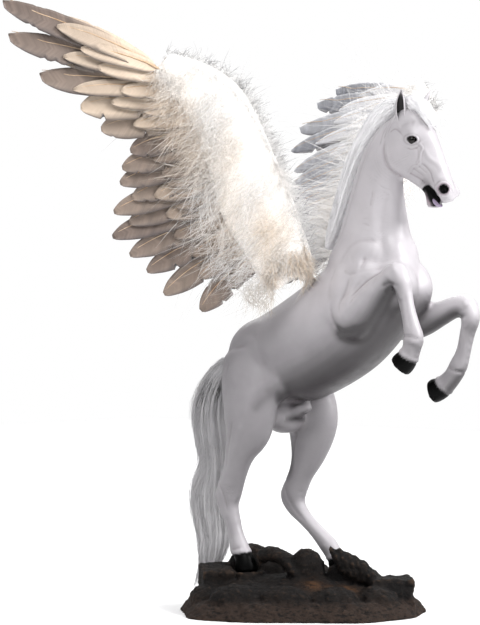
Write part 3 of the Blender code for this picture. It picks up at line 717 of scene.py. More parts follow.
def relaxHorse(horse):
    share = headShare(pointsOf(horse))
    group = horse.vertex_groups.new(name="bodySkin")
    levels = 10
    for level in range(1, levels + 1):
        near = np.nonzero(np.round((1 - share) * levels) == level)[0]
        if len(near):
            group.add([int(i) for i in near], level / levels, "REPLACE")
    applyModifier(
        horse, "SMOOTH", factor=0.5, iterations=horseForm["bodyRelax"], vertex_group="bodySkin"
    )
    applyModifier(horse, "SMOOTH", factor=0.5, iterations=horseForm["headRelax"])
    share = headShare(pointsOf(horse))
    pick(horse)
    bpy.ops.object.mode_set(mode="EDIT")
    bpy.ops.mesh.select_all(action="DESELECT")
    bpy.ops.mesh.select_mode(type="FACE")
    bpy.ops.object.mode_set(mode="OBJECT")
    for face in horse.data.polygons:
        face.select = all(share[i] > 0.5 for i in face.vertices)
    bpy.ops.object.mode_set(mode="EDIT")
    bpy.ops.mesh.subdivide(number_cuts=1, smoothness=0.0)
    bpy.ops.mesh.select_mode(type="VERT")
    bpy.ops.object.mode_set(mode="OBJECT")


# Carved lines: width, height, lowest and highest |y| in millimetres, side, points x, z
# A side of 1 or -1 keeps a line to one side
headLines = [
    (2.4, -1.1, 2, 30, 0, [(119, 491), (118, 482), (120, 472), (124, 464), (131, 458), (139, 455)]),
    (3.6, 0.9, 2, 30, 0, [(124, 490), (123, 480), (127, 470), (134, 463), (141, 461)]),
    (1.5, -0.9, 2, 30, 0, [(126, 500), (131, 503), (136, 503), (144, 497)]),
    (1.4, -0.7, 2, 30, 0, [(133, 517), (128, 509), (123, 499)]),
    (1.3, -0.6, 2, 30, 0, [(128, 514), (122, 504), (118, 494)]),
    (1.3, -0.6, 2, 30, 0, [(121, 509), (116, 499), (114, 488)]),
    (
        0.8, 0.8, 2, 30, 0,
        [(160, 489), (163, 487), (166, 483), (164, 478), (163, 472), (163, 468), (159, 465), (153, 464)]
        + [(147, 458)],
    ),
    (1.6, -0.4, 2, 30, 0, [(158, 484), (161, 480), (160, 472), (156, 467)]),
    (1.3, -0.9, 2, 30, 0, [(164, 468), (169, 464), (174, 458), (176, 452), (179, 446)]),
    (2.4, 0.9, 2, 30, 0, [(168, 482), (173, 473), (182, 466), (187, 457)]),
    (1.1, -0.5, 2, 30, 0, [(146, 460), (163, 450)]),
    (1.1, -0.5, 2, 30, 0, [(152, 464), (166, 454)]),
    (1.1, -0.5, 2, 30, 0, [(158, 467), (171, 457)]),
    (5.0, 0.9, 2, 30, 0, [(143, 498), (149, 502), (156, 503), (163, 499), (167, 492)]),
    (3.5, -0.7, 2, 30, 0, [(140, 505), (148, 509), (156, 509)]),
    (1.3, -0.5, 2, 30, 0, [(149, 484), (154, 482), (160, 484), (163, 488)]),
]
bodyLines = [
    (2.6, -0.8, 2, 40, 0, [(124, 514), (104, 500), (93, 478), (84, 454), (77, 434), (70, 409), (63, 390)]),
    (1.2, -0.7, 8, 40, 0, [(107, 442), (106, 426)]),
    (4.5, -0.9, 6, 40, 0, [(124, 440), (121, 424), (121, 400), (126, 372)]),
    (5.0, 0.8, 6, 40, 0, [(112, 448), (109, 420), (112, 398)]),
    (4.2, -0.8, 12, 60, 0, [(73, 366), (80, 380), (92, 389), (106, 391), (121, 388)]),
    (9.0, 1.2, 12, 60, 0, [(92, 372), (104, 380), (120, 378)]),
    (2.2, -0.7, 12, 60, 0, [(84, 361), (92, 357), (103, 358)]),
    (2.4, -0.6, 12, 60, 0, [(103, 358), (114, 361), (128, 363)]),
    (2.2, -0.7, 12, 60, 0, [(107, 374), (105, 361)]),
    (4.2, -0.7, 12, 60, 0, [(69, 366), (66, 348), (71, 328)]),
    (2.4, -0.9, 12, 60, 0, [(72, 324), (79, 306), (90, 297), (104, 297), (117, 304)]),
    (5.5, 0.7, 12, 60, 0, [(78, 364), (78, 344), (83, 325), (91, 309)]),
    (2.2, -0.7, 12, 60, 0, [(94, 355), (90, 339), (85, 326), (90, 313)]),
    (4.2, 0.8, 12, 60, -1, [(101, 354), (98, 338), (96, 322)]),
    (3.4, 0.8, 12, 60, -1, [(104, 327), (117, 341), (133, 354)]),
    (1.4, -0.9, 12, 60, -1, [(100, 333), (115, 348), (129, 358)]),
    (1.4, -0.8, 12, 60, -1, [(97, 324), (110, 335), (125, 347), (135, 353)]),
    (4.0, -0.4, 14, 60, 0, [(2, 242), (-8, 238), (-16, 232), (-24, 223), (-29, 211)]),
    (5.0, 0.4, 14, 60, 0, [(-4, 245), (-16, 240), (-26, 231), (-32, 216), (-36, 200)]),
    (2.8, -1.0, 10, 60, -1, [(-52, 205), (-58, 188), (-66, 168), (-70, 148)]),
    (3.6, 0.9, 10, 60, -1, [(-38, 200), (-48, 182), (-56, 162)]),
    (2.8, -1.2, 10, 60, 1, [(-16, 196), (-26, 176), (-32, 152)]),
    (5.0, -0.7, 18, 60, 0, [(-36, 300), (-22, 278), (-12, 256)]),
    (7.0, 0.8, 18, 60, 0, [(-64, 290), (-56, 264), (-52, 236)]),
    (4.0, -0.8, 18, 60, 0, [(-62, 268), (-66, 248), (-62, 224)]),
]
# Legs: tendons, joints and hock wrinkles
legLines = [
    (1.5, -0.8, 10, 60, -1, [(157, 334), (161, 318), (164, 300)]),
    (1.4, -0.7, 10, 60, -1, [(165, 336), (168, 318), (173, 300)]),
    (1.0, -1.0, 10, 60, -1, [(158, 291), (168, 294), (182, 291)]),
    (2.6, 0.7, 10, 60, -1, [(157, 288), (166, 290), (180, 287)]),
    (3.0, 1.0, 10, 60, -1, [(149, 366), (156, 360)]),
    (1.8, -0.9, 10, 60, -1, [(139, 343), (148, 347), (156, 344)]),
    (2.2, 0.7, 10, 60, -1, [(143, 357), (150, 350), (156, 338)]),
    (1.5, -0.8, 10, 60, 1, [(186, 312), (183, 296), (179, 278)]),
    (3.0, 1.0, 10, 60, 1, [(188, 330), (195, 324)]),
    (1.8, -0.9, 10, 60, 1, [(178, 314), (184, 312), (192, 314)]),
    (1.4, -1.0, 10, 60, 1, [(168, 262), (178, 258), (186, 256)]),
    (1.8, -1.1, 10, 60, -1, [(-84, 150), (-82, 136), (-74, 122), (-70, 104)]),
    (1.6, 0.9, 10, 60, -1, [(-88, 140), (-90, 128), (-84, 112), (-79, 96)]),
    (1.4, -0.9, 10, 60, -1, [(-72, 100), (-68, 86), (-64, 74)]),
    (2.4, 0.8, 10, 60, -1, [(-62, 118), (-62, 104), (-60, 90)]),
    (1.3, -0.9, 10, 60, -1, [(-70, 70), (-62, 66), (-52, 68)]),
    (2.0, 0.8, 10, 60, -1, [(-72, 66), (-64, 62), (-55, 63)]),
    (1.8, -1.0, 10, 60, 1, [(-44, 140), (-38, 126), (-28, 108), (-12, 92)]),
    (1.6, 0.9, 10, 60, 1, [(-47, 128), (-44, 114), (-32, 102)]),
    (0.9, -0.8, 10, 60, -1, [(-73, 131.5), (-60, 131)]),
    (0.9, -0.8, 10, 60, -1, [(-73, 128.3), (-60, 127.8)]),
    (0.9, -0.8, 10, 60, -1, [(-73, 125.1), (-60, 124.6)]),
    (0.9, -0.7, 10, 60, -1, [(-72, 121.9), (-61, 121.4)]),
    (0.9, -0.8, 10, 60, 1, [(-22, 125), (-11, 124)]),
    (0.9, -0.8, 10, 60, 1, [(-22, 121.8), (-11, 120.8)]),
    (0.9, -0.8, 10, 60, 1, [(-22, 118.6), (-11, 117.6)]),
    (0.9, -0.7, 10, 60, 1, [(-21, 115.4), (-11, 114.4)]),
]
# Hooves: side, a point on the edge above it, the way to the toe, radius that it stays within
hooves = [
    (-1, (165.5, 273), (-0.55, -0.83), 26),
    (1, (158, 242.5), (-0.77, -0.63), 28),
    (-1, (-54, 61.5), (0.22, -0.97), 26),
    (1, (25, 57), (0.3, -0.95), 26),
]


def lineWeight(flat, points, width):
    # 1 on a smooth line through the points, less away from it and towards its ends
    path = smoothRows(points, 4)
    low, high = path.min(0) - 3 * width, path.max(0) + 3 * width
    close = np.nonzero(((flat > low) & (flat < high)).all(1))[0]
    spots = flat[close]
    nearest = np.full(len(close), np.inf)
    share = np.zeros(len(close))
    steps = len(path) - 1
    for i, (a, b) in enumerate(zip(path, path[1:])):
        span = b - a
        t = np.clip(((spots - a) @ span) / (span @ span), 0, 1)
        gap = np.linalg.norm(spots - a - t[:, None] * span, axis=1)
        better = gap < nearest
        nearest[better] = gap[better]
        share[better] = ((i + t) / steps)[better]
    fade = np.minimum(1, 5 * np.minimum(share, 1 - share) + 0.25)
    weight = np.zeros(len(flat))
    weight[close] = np.exp(-((nearest / width) ** 2)) * fade
    return weight


def carveLines(points, normals, lines):
    flat = points[:, [0, 2]] / mm
    y = points[:, 1] / mm
    facing = ramp(np.abs(normals[:, 1]), 0.15, 0.6)
    lift = np.zeros(len(points))
    for width, height, low, high, side, path in lines:
        reach = (np.abs(y) > low) & (np.abs(y) < high)
        if side:
            reach &= y * side > 0
        lift += lineWeight(flat, path, width) * height * reach * facing
    return lift


def flatPlane(points):
    # distance to the right and height, as the camera sees each side of the head
    turn = math.radians(shot["turn"])
    right = points[:, 0] * math.cos(turn) - np.abs(points[:, 1]) * math.sin(turn)
    return np.column_stack([right, points[:, 2]]) / mm


def ovalGap(flat, centre, radii, turn):
    # 1 on the oval's edge
    angle = math.radians(turn)
    right, up = (flat - np.array(centre)).T
    along = right * math.cos(angle) + up * math.sin(angle)
    across = up * math.cos(angle) - right * math.sin(angle)
    return np.hypot(along / radii[0], across / radii[1])


# Places on the camera's plane of each side of the head, and sizes, in millimetres
faceForm = {
    "eye": (108.6, 492.0),
    "eyeRadii": (4.5, 3.1),
    "eyeTurn": -10,
    "nostril": (139.0, 441.0),
    "nostrilRadii": (4.9, 4.9),
    "mouth": [(120.5, 444.8), (124.5, 440.5), (128.5, 434.5), (131.5, 428.0), (132.5, 424)],
    "mouthWidth": 4.6,
}


def carveFace(points):
    flat = flatPlane(points)
    headSide = (np.abs(points[:, 1]) > 4 * mm) & (points[:, 2] > 470 * mm)
    eye = ovalGap(flat, faceForm["eye"], faceForm["eyeRadii"], faceForm["eyeTurn"])
    lift = -3.2 * (1 - ramp(eye, 0.8, 1.1)) * headSide
    upper = ramp(flat[:, 1] - faceForm["eye"][1] + 0.3 * (flat[:, 0] - faceForm["eye"][0]), -1.5, 1.5)
    lift += (0.3 + 0.6 * upper) * np.exp(-(((eye - 1.3) / 0.25) ** 2)) * headSide
    lift -= 0.2 * np.exp(-(((eye - 1.75) / 0.2) ** 2)) * headSide
    lift += 0.35 * np.exp(-(((eye - 2.2) / 0.4) ** 2)) * headSide * (1 - upper)
    nostril = ovalGap(flat, faceForm["nostril"], faceForm["nostrilRadii"], 0)
    muzzle = (np.abs(points[:, 1]) > 2 * mm) & (points[:, 0] > 178 * mm)
    lift -= 3.6 * (1 - ramp(nostril, 0.6, 1.05)) * muzzle
    lift += 1.0 * np.exp(-(((nostril - 1.3) / 0.25) ** 2)) * muzzle
    lift -= 0.5 * np.exp(-(((nostril - 1.9) / 0.3) ** 2)) * muzzle
    return lift, eye, nostril


def carveCoat(points, normals):
    # short wavy folds across the neck and throat, and combed strokes on the cheek
    x, y, z = (points / mm).T
    facing = ramp(np.abs(normals[:, 1]), 0.3, 0.8)
    neck = ramp(z, 378, 400) * (1 - ramp(z, 448, 472)) * ramp(x, 78, 90) * (1 - ramp(x, 116, 134))
    along = z * 0.86 + x * 0.5 + 1.6 * np.sin(x / 6) + 1.1 * np.sin(z / 5 + x / 3)
    patchy = np.clip(np.sin(x / 5.3 + 2 * np.sin(z / 8)) + 0.7 * np.sin(z / 3.7 - x / 7), 0, 1)
    lift = 0.22 * neck * patchy * np.sin(2 * math.pi * along / 3.9)
    cheek = 1 - ramp(np.hypot(x - 136, z - 480), 12, 20)
    lift += 0.11 * cheek * np.sin(2 * math.pi * (z - 0.36 * x) / 2.5)
    throat = 1 - ramp(np.abs(np.hypot(x - 140, z - 482) - 31), 4, 9)
    throat = throat * (1 - ramp(x, 120, 128)) * (1 - ramp(z, 486, 500))
    lift += 0.12 * throat * np.sin(2 * math.pi * np.hypot(x - 140, z - 482) / 2.8)
    return lift * facing


def hoofShare(points):
    share = np.zeros(len(points))
    rim = np.zeros(len(points))
    for side, spot, toe, reach in hooves:
        away = points[:, [0, 2]] / mm - np.array(spot)
        past = away @ np.array(toe)
        near = (np.linalg.norm(away, axis=1) < reach) & (points[:, 1] * side > 0)
        share = np.maximum(share, ramp(past, -0.7, 0.9) * near)
        rim += np.exp(-(((past + 1.6) / 1.5) ** 2)) * near * 0.7
        rim -= np.exp(-(((past - 1.4) / 1.2) ** 2)) * near * 0.6
    return share, rim


def spotShare(flat, points, width):
    # solid within the width of a line, with a soft edge
    return np.clip(lineWeight(flat, points, width) * 5 - 1.2, 0, 1)


def paintHorse(horse, eye, nostril):
    points, normals = pointsOf(horse), normalsOf(horse)
    x, y, z = (points / mm).T
    side = points[:, [0, 2]] / mm
    flat = flatPlane(points)
    black, _ = hoofShare(points)
    headSide = (np.abs(y) > 4) * (z > 470)
    muzzle = (np.abs(y) > 2) * (x > 178) * (z < 452)
    black = np.maximum(black, (1 - ramp(nostril, 0.95, 1.1)) * muzzle)
    black = np.maximum(black, (1 - ramp(eye, 1.0, 1.22)) * headSide)
    gape = spotShare(flat, faceForm["mouth"], faceForm["mouthWidth"]) * (x > 158) * (z < 452)
    black = np.maximum(black, gape)
    inside = lineWeight(side, [(166, 444), (174, 437), (180, 428)], 5) * (1 - ramp(np.abs(y), 4, 6))
    black = np.maximum(black, np.clip(inside * 2, 0, 1))
    # painted shade: darker on the underside, the low flanks and the inner side of the far hind leg
    under = ramp(-normals[:, 2], -0.25, 0.6) * (1 - ramp(z, 330, 385)) * ramp(z, 190, 225)
    paintedShade = 0.93 * under * ramp(x, -30, 0)
    flank = ramp(-normals[:, 2], -0.7, 0.4) * (1 - ramp(z, 270, 335))
    flank = flank * (0.55 + 0.45 * ramp(z, 60, 130))
    paintedShade = np.maximum(paintedShade, 0.54 * flank)
    inner = ramp(z, 120, 150) * (1 - ramp(z, 210, 235)) * (y > 8) * (1 - ramp(x, -38, -12))
    paintedShade = np.maximum(paintedShade, 0.8 * inner)
    # painted shade round the eye, above the brow and in the creases by the mouth, knee, elbow, groin and
    # between the hind legs
    paintedShade = paintedShade + 0.1 * np.exp(-(((eye - 1.75) / 0.35) ** 2)) * headSide
    paintedShade += 0.12 * lineWeight(side, [(144, 505), (154, 510), (163, 505)], 6)
    paintedShade += 0.4 * lineWeight(flat, [(118, 450), (122, 448), (126, 444)], 3.5) * (x > 158)
    paintedShade += 0.2 * lineWeight(side, [(139, 343), (156, 344)], 6) * (y < 0)
    paintedShade += 0.35 * lineWeight(side, [(80, 304), (92, 296), (112, 302)], 6) * (np.abs(y) > 20)
    paintedShade += 0.2 * lineWeight(side, [(2, 240), (-14, 228), (-26, 212)], 5) * (np.abs(y) > 14)
    paintedShade += 0.4 * lineWeight(side, [(-12, 204), (2, 206), (10, 210)], 4) * (np.abs(y) < 14)
    flesh = 0.5 * np.exp(-(((nostril - 1.12) / 0.12) ** 2)) * muzzle
    lowLip = [(121.5, 440), (123.4, 433.5), (126, 428.2), (129, 424.5)]
    lips = (x > 158) * (z < 446)
    flesh += 0.5 * lineWeight(flat, lowLip, 1.6) * lips
    black = black * (1 - 0.35 * lineWeight(flat, lowLip, 1.3) * lips)
    paint = [black, np.clip(paintedShade, 0, 0.94), np.clip(flesh, 0, 0.7)]
    paintPoints(horse, "coat", np.column_stack(paint))


def buildHorse():
    horse = buildHorseForm()
    print("horse form", len(horse.data.polygons), "faces")
    for lines in (bodyLines, legLines, headLines):
        points, normals = pointsOf(horse), normalsOf(horse)
        setPoints(horse, points + normals * carveLines(points, normals, lines)[:, None] * mm)
    points, normals = pointsOf(horse), normalsOf(horse)
    lift, eye, nostril = carveFace(points)
    _, rim = hoofShare(points)
    lift += carveCoat(points, normals) + rim
    setPoints(horse, points + normals * lift[:, None] * mm)
    applyModifier(horse, "SMOOTH", factor=0.4, iterations=1)
    paintHorse(horse, eye, nostril)
    finishPiece(horse, resin, "cast_white", "horse_body")


buildHorse()
print("horse carved")

# Ears: a leaf-shaped shell, open at the front and dark inside; the far one is pricked forward
earForms = {
    "rightEar": {"root": (138, -10, 509), "tip": (140.5, -14, 544), "opens": -58},
    "leftEar": {"root": (143, 10.5, 511), "tip": (155, 18, 545), "opens": 30},
}
earShape = {"width": 5.9, "wall": 1.1, "rows": 18, "columns": 14}


def buildEar(name):
    form = earForms[name]
    root, tip = Vector(form["root"]), Vector(form["tip"])
    opens = math.radians(form["opens"])
    columns = earShape["columns"]
    rings = []
    for step in range(earShape["rows"]):
        share = step / (earShape["rows"] - 1)
        swell = math.sin(math.pi * (0.24 + share * 0.76)) ** 0.8 if share < 1 else 0
        reach = max(earShape["width"] * swell, 0.35)
        centre = root + (tip - root) * share + Vector((-1.2, 0, 0)) * math.sin(math.pi * share)
        spread = math.radians(148 - 30 * share)
        hollow = max(reach - earShape["wall"], reach * 0.45)
        ring = []
        for radius, way in ((reach, 1), (hollow, -1)):
            for i in range(columns):
                angle = opens + math.pi + way * spread * (2 * i / (columns - 1) - 1)
                ring.append(centre + Vector((math.cos(angle), math.sin(angle), 0)) * radius)
        rings.append([point * mm for point in ring])
    ear = tubeFromRings(name, rings)
    applyModifier(ear, "SUBSURF", levels=1, render_levels=1)
    points, normals = pointsOf(ear) / mm, normalsOf(ear)
    share = (points[:, 2] - root.z) / (tip.z - root.z)
    middle = np.array(root) + share[:, None] * np.array(tip - root)
    outward = ((points - middle)[:, :2] * normals[:, :2]).sum(1)
    inside = ramp(-outward, 0.2, 1.6)
    dark = inside * 0.8 * (1 - ramp(share, 0.75, 0.95)) * ramp(share, 0.05, 0.3)
    # the hollow is painted dark, with painted shade over it in the coat's second channel
    paintPoints(ear, "coat", np.column_stack([dark, inside * 0.4, inside * 0]))
    finishPiece(ear, resin, "cast_white")


for ear in earForms:
    buildEar(ear)


# Eyes: a ball with its iris and pupil drawn where it looks out
def buildEye(name, node, side):
    low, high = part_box(node)
    centre = (low + high) / 2
    radius = (high.x - low.x) / 2
    clearSelection()
    # a little smaller than its solid, so that the lids close over it
    bpy.ops.mesh.primitive_uv_sphere_add(
        segments=32, ring_count=20, radius=radius * 0.98, location=centre
    )
    eye = bpy.context.object
    eye.name = name
    setPlace(eye)
    away = unit(pointsOf(eye) - np.array(centre)) @ unit(np.array([0.45, side * 0.89, 0.0]))
    iris = ramp(away, 0.55, 0.62) * (1 - ramp(away, 0.9, 0.93))
    paintPoints(eye, "tone", np.column_stack([iris, iris, iris]))
    finishPiece(eye, glass, "eye_glass", node)


buildEye("rightEyeball", "right_eye", -1)
buildEye("leftEyeball", "left_eye", 1)


# Tongue: a lump drawn out along the lower jaw
def buildTongue():
    clearSelection()
    bpy.ops.mesh.primitive_uv_sphere_add(segments=24, ring_count=16, radius=1)
    piece = bpy.context.object
    piece.name = "tongueAndGum"
    along, side, up = pointsOf(piece).T
    x = 175.5 + along * 4.2 + up * 1.3
    z = 427.5 - along * 4.6 + up * 1.6 + 0.9 * along**2
    groove = 0.5 * np.exp(-((side / 0.2) ** 2)) * (up > 0)
    setPoints(piece, np.column_stack([x, side * 6.4, z - groove]) * mm)
    finishPiece(piece, tongue, "cast_white")


buildTongue()
print("head furnished")

# Wings: seat of the arm, the way feathers trail, the way the arm rises
wingFrames = {
    "right": ((30, -34, 352), (-0.639, -0.769, 0.0), (0.123, -0.102, 0.987), 1),
    "left": ((36, 32, 366), (-0.841, 0.479, 0.234), (0.466, 0.439, 0.7645), -1),
}
# Flight feathers: node, root u, v, tip u, v, half width, paleness
flightFeathers = {
    "right": [
        ("primary_1", 156, 214, 315, 277, 11, 0.0),
        ("primary_2", 143, 203, 309, 243, 12.5, 0.05),
        ("primary_3", 132, 193, 277, 203, 13, 0.1),
        ("primary_4", 121, 182, 235, 176, 15, 0.75),
        ("primary_5", 112, 168, 214, 154, 14, 0.35),
        ("secondary_01", 102, 154, 184, 132, 12, 0.05),
        ("secondary_02", 94, 140, 192, 115, 12, 0.15),
        ("secondary_03", 86, 128, 194, 100, 12, 0.1),
        ("secondary_04", 81, 117, 181, 85, 12, 0.2),
        ("secondary_05", 75, 106, 200, 71, 12, 0.15),
        ("secondary_06", 69, 95, 184, 60, 12, 0.1),
        ("secondary_07", 63, 84, 201, 46, 12, 0.0),
        ("secondary_08", 57, 73, 183, 27, 12, 0.1),
        ("secondary_09", 51, 62, 165, 10, 12, 0.05),
        ("secondary_10", 45, 50, 147, -14, 12, 0.15),
        ("secondary_11", 38, 38, 108, -32, 12, 0.1),
    ],
    "left": [
        ("primary_1", 156, 210, 332, 181, 11, 0.0),
        ("primary_2", 143, 203, 349, 156, 12.5, 0.1),
        ("primary_3", 132, 193, 342, 119, 13, 0.3),
        ("primary_4", 121, 182, 322, 96, 13, 0.1),
        ("primary_5", 112, 168, 276, 74, 13, 0.3),
        ("secondary_01", 102, 154, 256, 58, 12, 0.2),
        ("secondary_02", 94, 140, 247, 43, 12, 0.1),
        ("secondary_03", 86, 128, 237, 28, 12, 0.2),
        ("secondary_04", 81, 117, 228, 14, 12, 0.1),
        ("secondary_05", 75, 106, 217, 0, 12, 0.1),
        ("secondary_06", 69, 95, 205, -13, 12, 0.2),
        ("secondary_07", 63, 84, 191, -25, 12, 0.1),
        ("secondary_08", 57, 73, 176, -35, 12, 0.1),
        ("secondary_09", 51, 62, 157, -45, 12, 0.1),
        ("secondary_10", 45, 50, 134, -52, 12, 0.2),
        ("secondary_11", 38, 38, 104, -51, 12, 0.1),
    ],
}
featherForm = {
    "longSteps": 44,
    "wideSteps": 10,
    "vaneFrom": 0.06,
    # barbs reach a little past the solid's edge
    "overreach": 1.12,
    "thickness": 0.36,
    "tilt": 14,
    "rootDepth": 7,
    "shaftAt": 0.42,
    "shaftRadius": 1.4,
    "camber": 0.1,
    "taperFrom": 0.66,
    "droopAt": [0, 0.06, 0.14, 0.4, 0.7, 0.92, 1.0],
    "droop": [0, 0, 0.005, 0.013, 0.004, -0.018, -0.034],
}


def wingAxes(side):
    seat, trail, rise, sign = wingFrames[side]
    along = Vector(trail).normalized()
    up = Vector(rise)
    up = (up - along * up.dot(along)).normalized()
    across = along.cross(up) * sign
    return np.array(seat, float), np.array(along), np.array(up), np.array(across)


def toWorld(axes, uvw):
    seat, along, up, across = axes
    uvw = np.asarray(uvw, float)
    return (seat + uvw[..., :1] * along + uvw[..., 1:2] * up + uvw[..., 2:3] * across) * mm


# One flat feather in shares of length and width, with a vane and a shaft, copied for every place
def masterFeather(name, longSteps, wideSteps, shaftSides):
    clearSelection()
    bpy.ops.mesh.primitive_grid_add(x_subdivisions=longSteps, y_subdivisions=wideSteps, size=2)
    blade = bpy.context.object
    setPoints(blade, pointsOf(blade) * np.array([0.5, 1, 1]) + np.array([0.5, 0, 0]))
    applyModifier(blade, "SOLIDIFY", thickness=featherForm["thickness"], offset=0)
    bladeCount = len(blade.data.vertices)
    clearSelection()
    bpy.ops.mesh.primitive_cylinder_add(
        vertices=shaftSides, radius=1, depth=1, rotation=(0, math.pi / 2, 0)
    )
    rod = bpy.context.object
    setPlace(rod)
    bpy.ops.object.mode_set(mode="EDIT")
    bpy.ops.mesh.select_all(action="DESELECT")
    shape = bmesh.from_edit_mesh(rod.data)
    lengths = [
        edge for edge in shape.edges if abs(edge.verts[0].co.x - edge.verts[1].co.x) > 0.5
    ]
    bmesh.ops.subdivide_edges(shape, edges=lengths, cuts=longSteps // 2, use_grid_fill=False)
    bmesh.update_edit_mesh(rod.data)
    bpy.ops.object.mode_set(mode="OBJECT")
    setPoints(rod, pointsOf(rod) + np.array([0.5, 0, 0]))
    blade.data.materials.append(vane)
    rod.data.materials.append(shaft)
    master = joinPieces([blade, rod], name)
    master["bladeCount"] = bladeCount
    return master


def vaneSpread(share, t, pointed, notches):
    # t runs from the rear edge at -1 over the shaft to the front edge at 1
    start, taperFrom = featherForm["vaneFrom"], featherForm["taperFrom"]
    opening = np.clip((share - start) / 0.12, 0, 1) ** 0.6
    body = 0.72 + 0.28 * ramp(share, 0.1, 0.55)
    ending = np.clip((share - taperFrom) / (1 - taperFrom), 0, 1)
    if pointed:
        trail = np.sqrt(np.clip(1 - ending**1.6, 0, 1)) * 1.6 - 0.6
        lead = 1 - 0.3 * ending**3
    else:
        trail = np.clip(1 - ending**1.9, 0, 1) ** 0.75
        lead = np.clip(1 - 0.86 * ending**2.4, 0, 1) ** 0.6
    ragged = np.zeros(len(share))
    for spot, depth, width in notches:
        slope = spot - 0.06 * np.abs(t)
        ragged += depth * np.clip(1 - np.abs(share - slope) / width, 0, 1)
    trail = trail * (1 - ragged) * opening * body
    lead = lead * (1 - 0.35 * ragged) * opening * body
    wide = np.where(t < 0, t * trail, t * lead)
    return np.where(trail < 0, -trail + (lead + trail) * (t + 1) / 2, wide)


def placeShaft(rod, length, half, pointed):
    # share of the length, place across and height of each point of the shaft
    start = -featherForm["rootDepth"] / length
    share = start + (0.985 - start) * rod[:, 0]
    taper = featherForm["shaftRadius"] * (1 - 0.82 * np.clip(share, 0, 1) ** 0.8)
    settle = ramp(share, 0.02, 0.2)
    endsAt = 0.9 if pointed else 0.3
    lean = featherForm["shaftAt"] + (endsAt - featherForm["shaftAt"]) * ramp(share, 0.75, 1.0)
    cross = lean * half * settle * (0.72 + 0.28 * ramp(share, 0.1, 0.55)) + rod[:, 1] * taper
    height = featherForm["camber"] * half * 0.8 * settle + rod[:, 2] * taper
    return share, cross, height


def shapeFeather(master, axes, root, tip, half, lift, pale, pointed, notches):
    # lift: place over the wing's plane; notches: shares of the length where the barbs part
    piece = master.copy()
    piece.data = master.data.copy()
    bpy.context.scene.collection.objects.link(piece)
    points = pointsOf(piece)
    blade, rod = points[: master["bladeCount"]], points[master["bladeCount"] :]
    span = np.array(tip, float) - np.array(root, float)
    length = np.linalg.norm(span)
    along = span / length
    beside = np.array([-along[1], along[0]])
    start = featherForm["vaneFrom"]
    bladeShare = start + (1 - start) * blade[:, 0]
    t = blade[:, 1]
    bladeCross = vaneSpread(bladeShare, t, pointed, notches) * half
    ripple = 0.22 * np.sin(bladeShare * length / 3.1 + np.abs(t) * 3) * np.abs(t) ** 2
    crown = featherForm["camber"] * half * (1 - t**2) + ripple
    rodShare, rodCross, rodHeight = placeShaft(rod, length, half, pointed)
    share = np.concatenate([bladeShare, rodShare])
    cross = np.concatenate([bladeCross, rodCross])
    height = np.concatenate([blade[:, 2] + crown, rodHeight])
    droop = np.interp(share, featherForm["droopAt"], featherForm["droop"]) * length
    turn = math.radians(featherForm["tilt"]) * ramp(share, 0.0, 0.15)
    flat = cross * np.cos(turn) - height * np.sin(turn)
    over = cross * np.sin(turn) + height * np.cos(turn) + lift
    middle = np.array(root) + along * (share * length)[:, None] + beside * droop[:, None]
    place = middle + beside * flat[:, None]
    setPoints(piece, toWorld(axes, np.column_stack([place, over])))
    shaftZeros = np.zeros(len(rod))
    inner = (height > np.concatenate([crown, shaftZeros])).astype(float)
    edge = np.concatenate([np.clip(-t, 0, 1), shaftZeros])
    paleness = np.clip(pale + 0.75 * (1 - ramp(share, 0.1, 0.72)), 0, 1)
    paintPoints(piece, "tone", np.column_stack([inner, paleness, edge]))
    layer = piece.data.uv_layers.new(name="barbs")
    corner = np.empty(len(piece.data.loops), np.int32)
    piece.data.loops.foreach_get("vertex_index", corner)
    slanted = (share * length - np.abs(cross) * 0.8) * mm
    uv = np.column_stack([slanted, cross * mm])[corner]
    layer.data.foreach_set("uv", uv.astype(np.float32).ravel())
    return piece


def randomNotches(most):
    found = []
    for _ in range(int(chance.integers(0, most + 1))):
        spot = chance.uniform(0.45, 0.95)
        depth = chance.uniform(0.2, 0.6)
        found.append((spot, depth, chance.uniform(0.008, 0.02)))
    return found


def buildFlight(side, axes, master):
    for node, rootU, rootV, tipU, tipV, half, pale in flightFeathers[side]:
        pointed = node in ("primary_1", "primary_2", "primary_3")
        notches = randomNotches(3)
        root, tip, wide = (rootU, rootV), (tipU, tipV), half * featherForm["overreach"]
        piece = shapeFeather(master, axes, root, tip, wide, 0, pale, pointed, notches)
        first, number = node.split("_")
        piece.name = side + first.capitalize() + "Feather" + number
        piece.data.shade_smooth()
        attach(piece, "root")
        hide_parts(side + "_" + node)


# Coverts: shorter, paler feathers over the roots of the flight feathers, the short row on five alone
# share of the flight feather's length, half width, place over the wing's plane, paleness
covertRows = {
    "long": (0.64, 11.5, 2.6, 0.3),
    "short": (0.48, 9.0, 4.6, 0.75),
}
# the first five lie long and peach over the primaries
primaryCoverts = {"count": 5, "share": 0.7, "half": 9.5, "pale": 0.7}


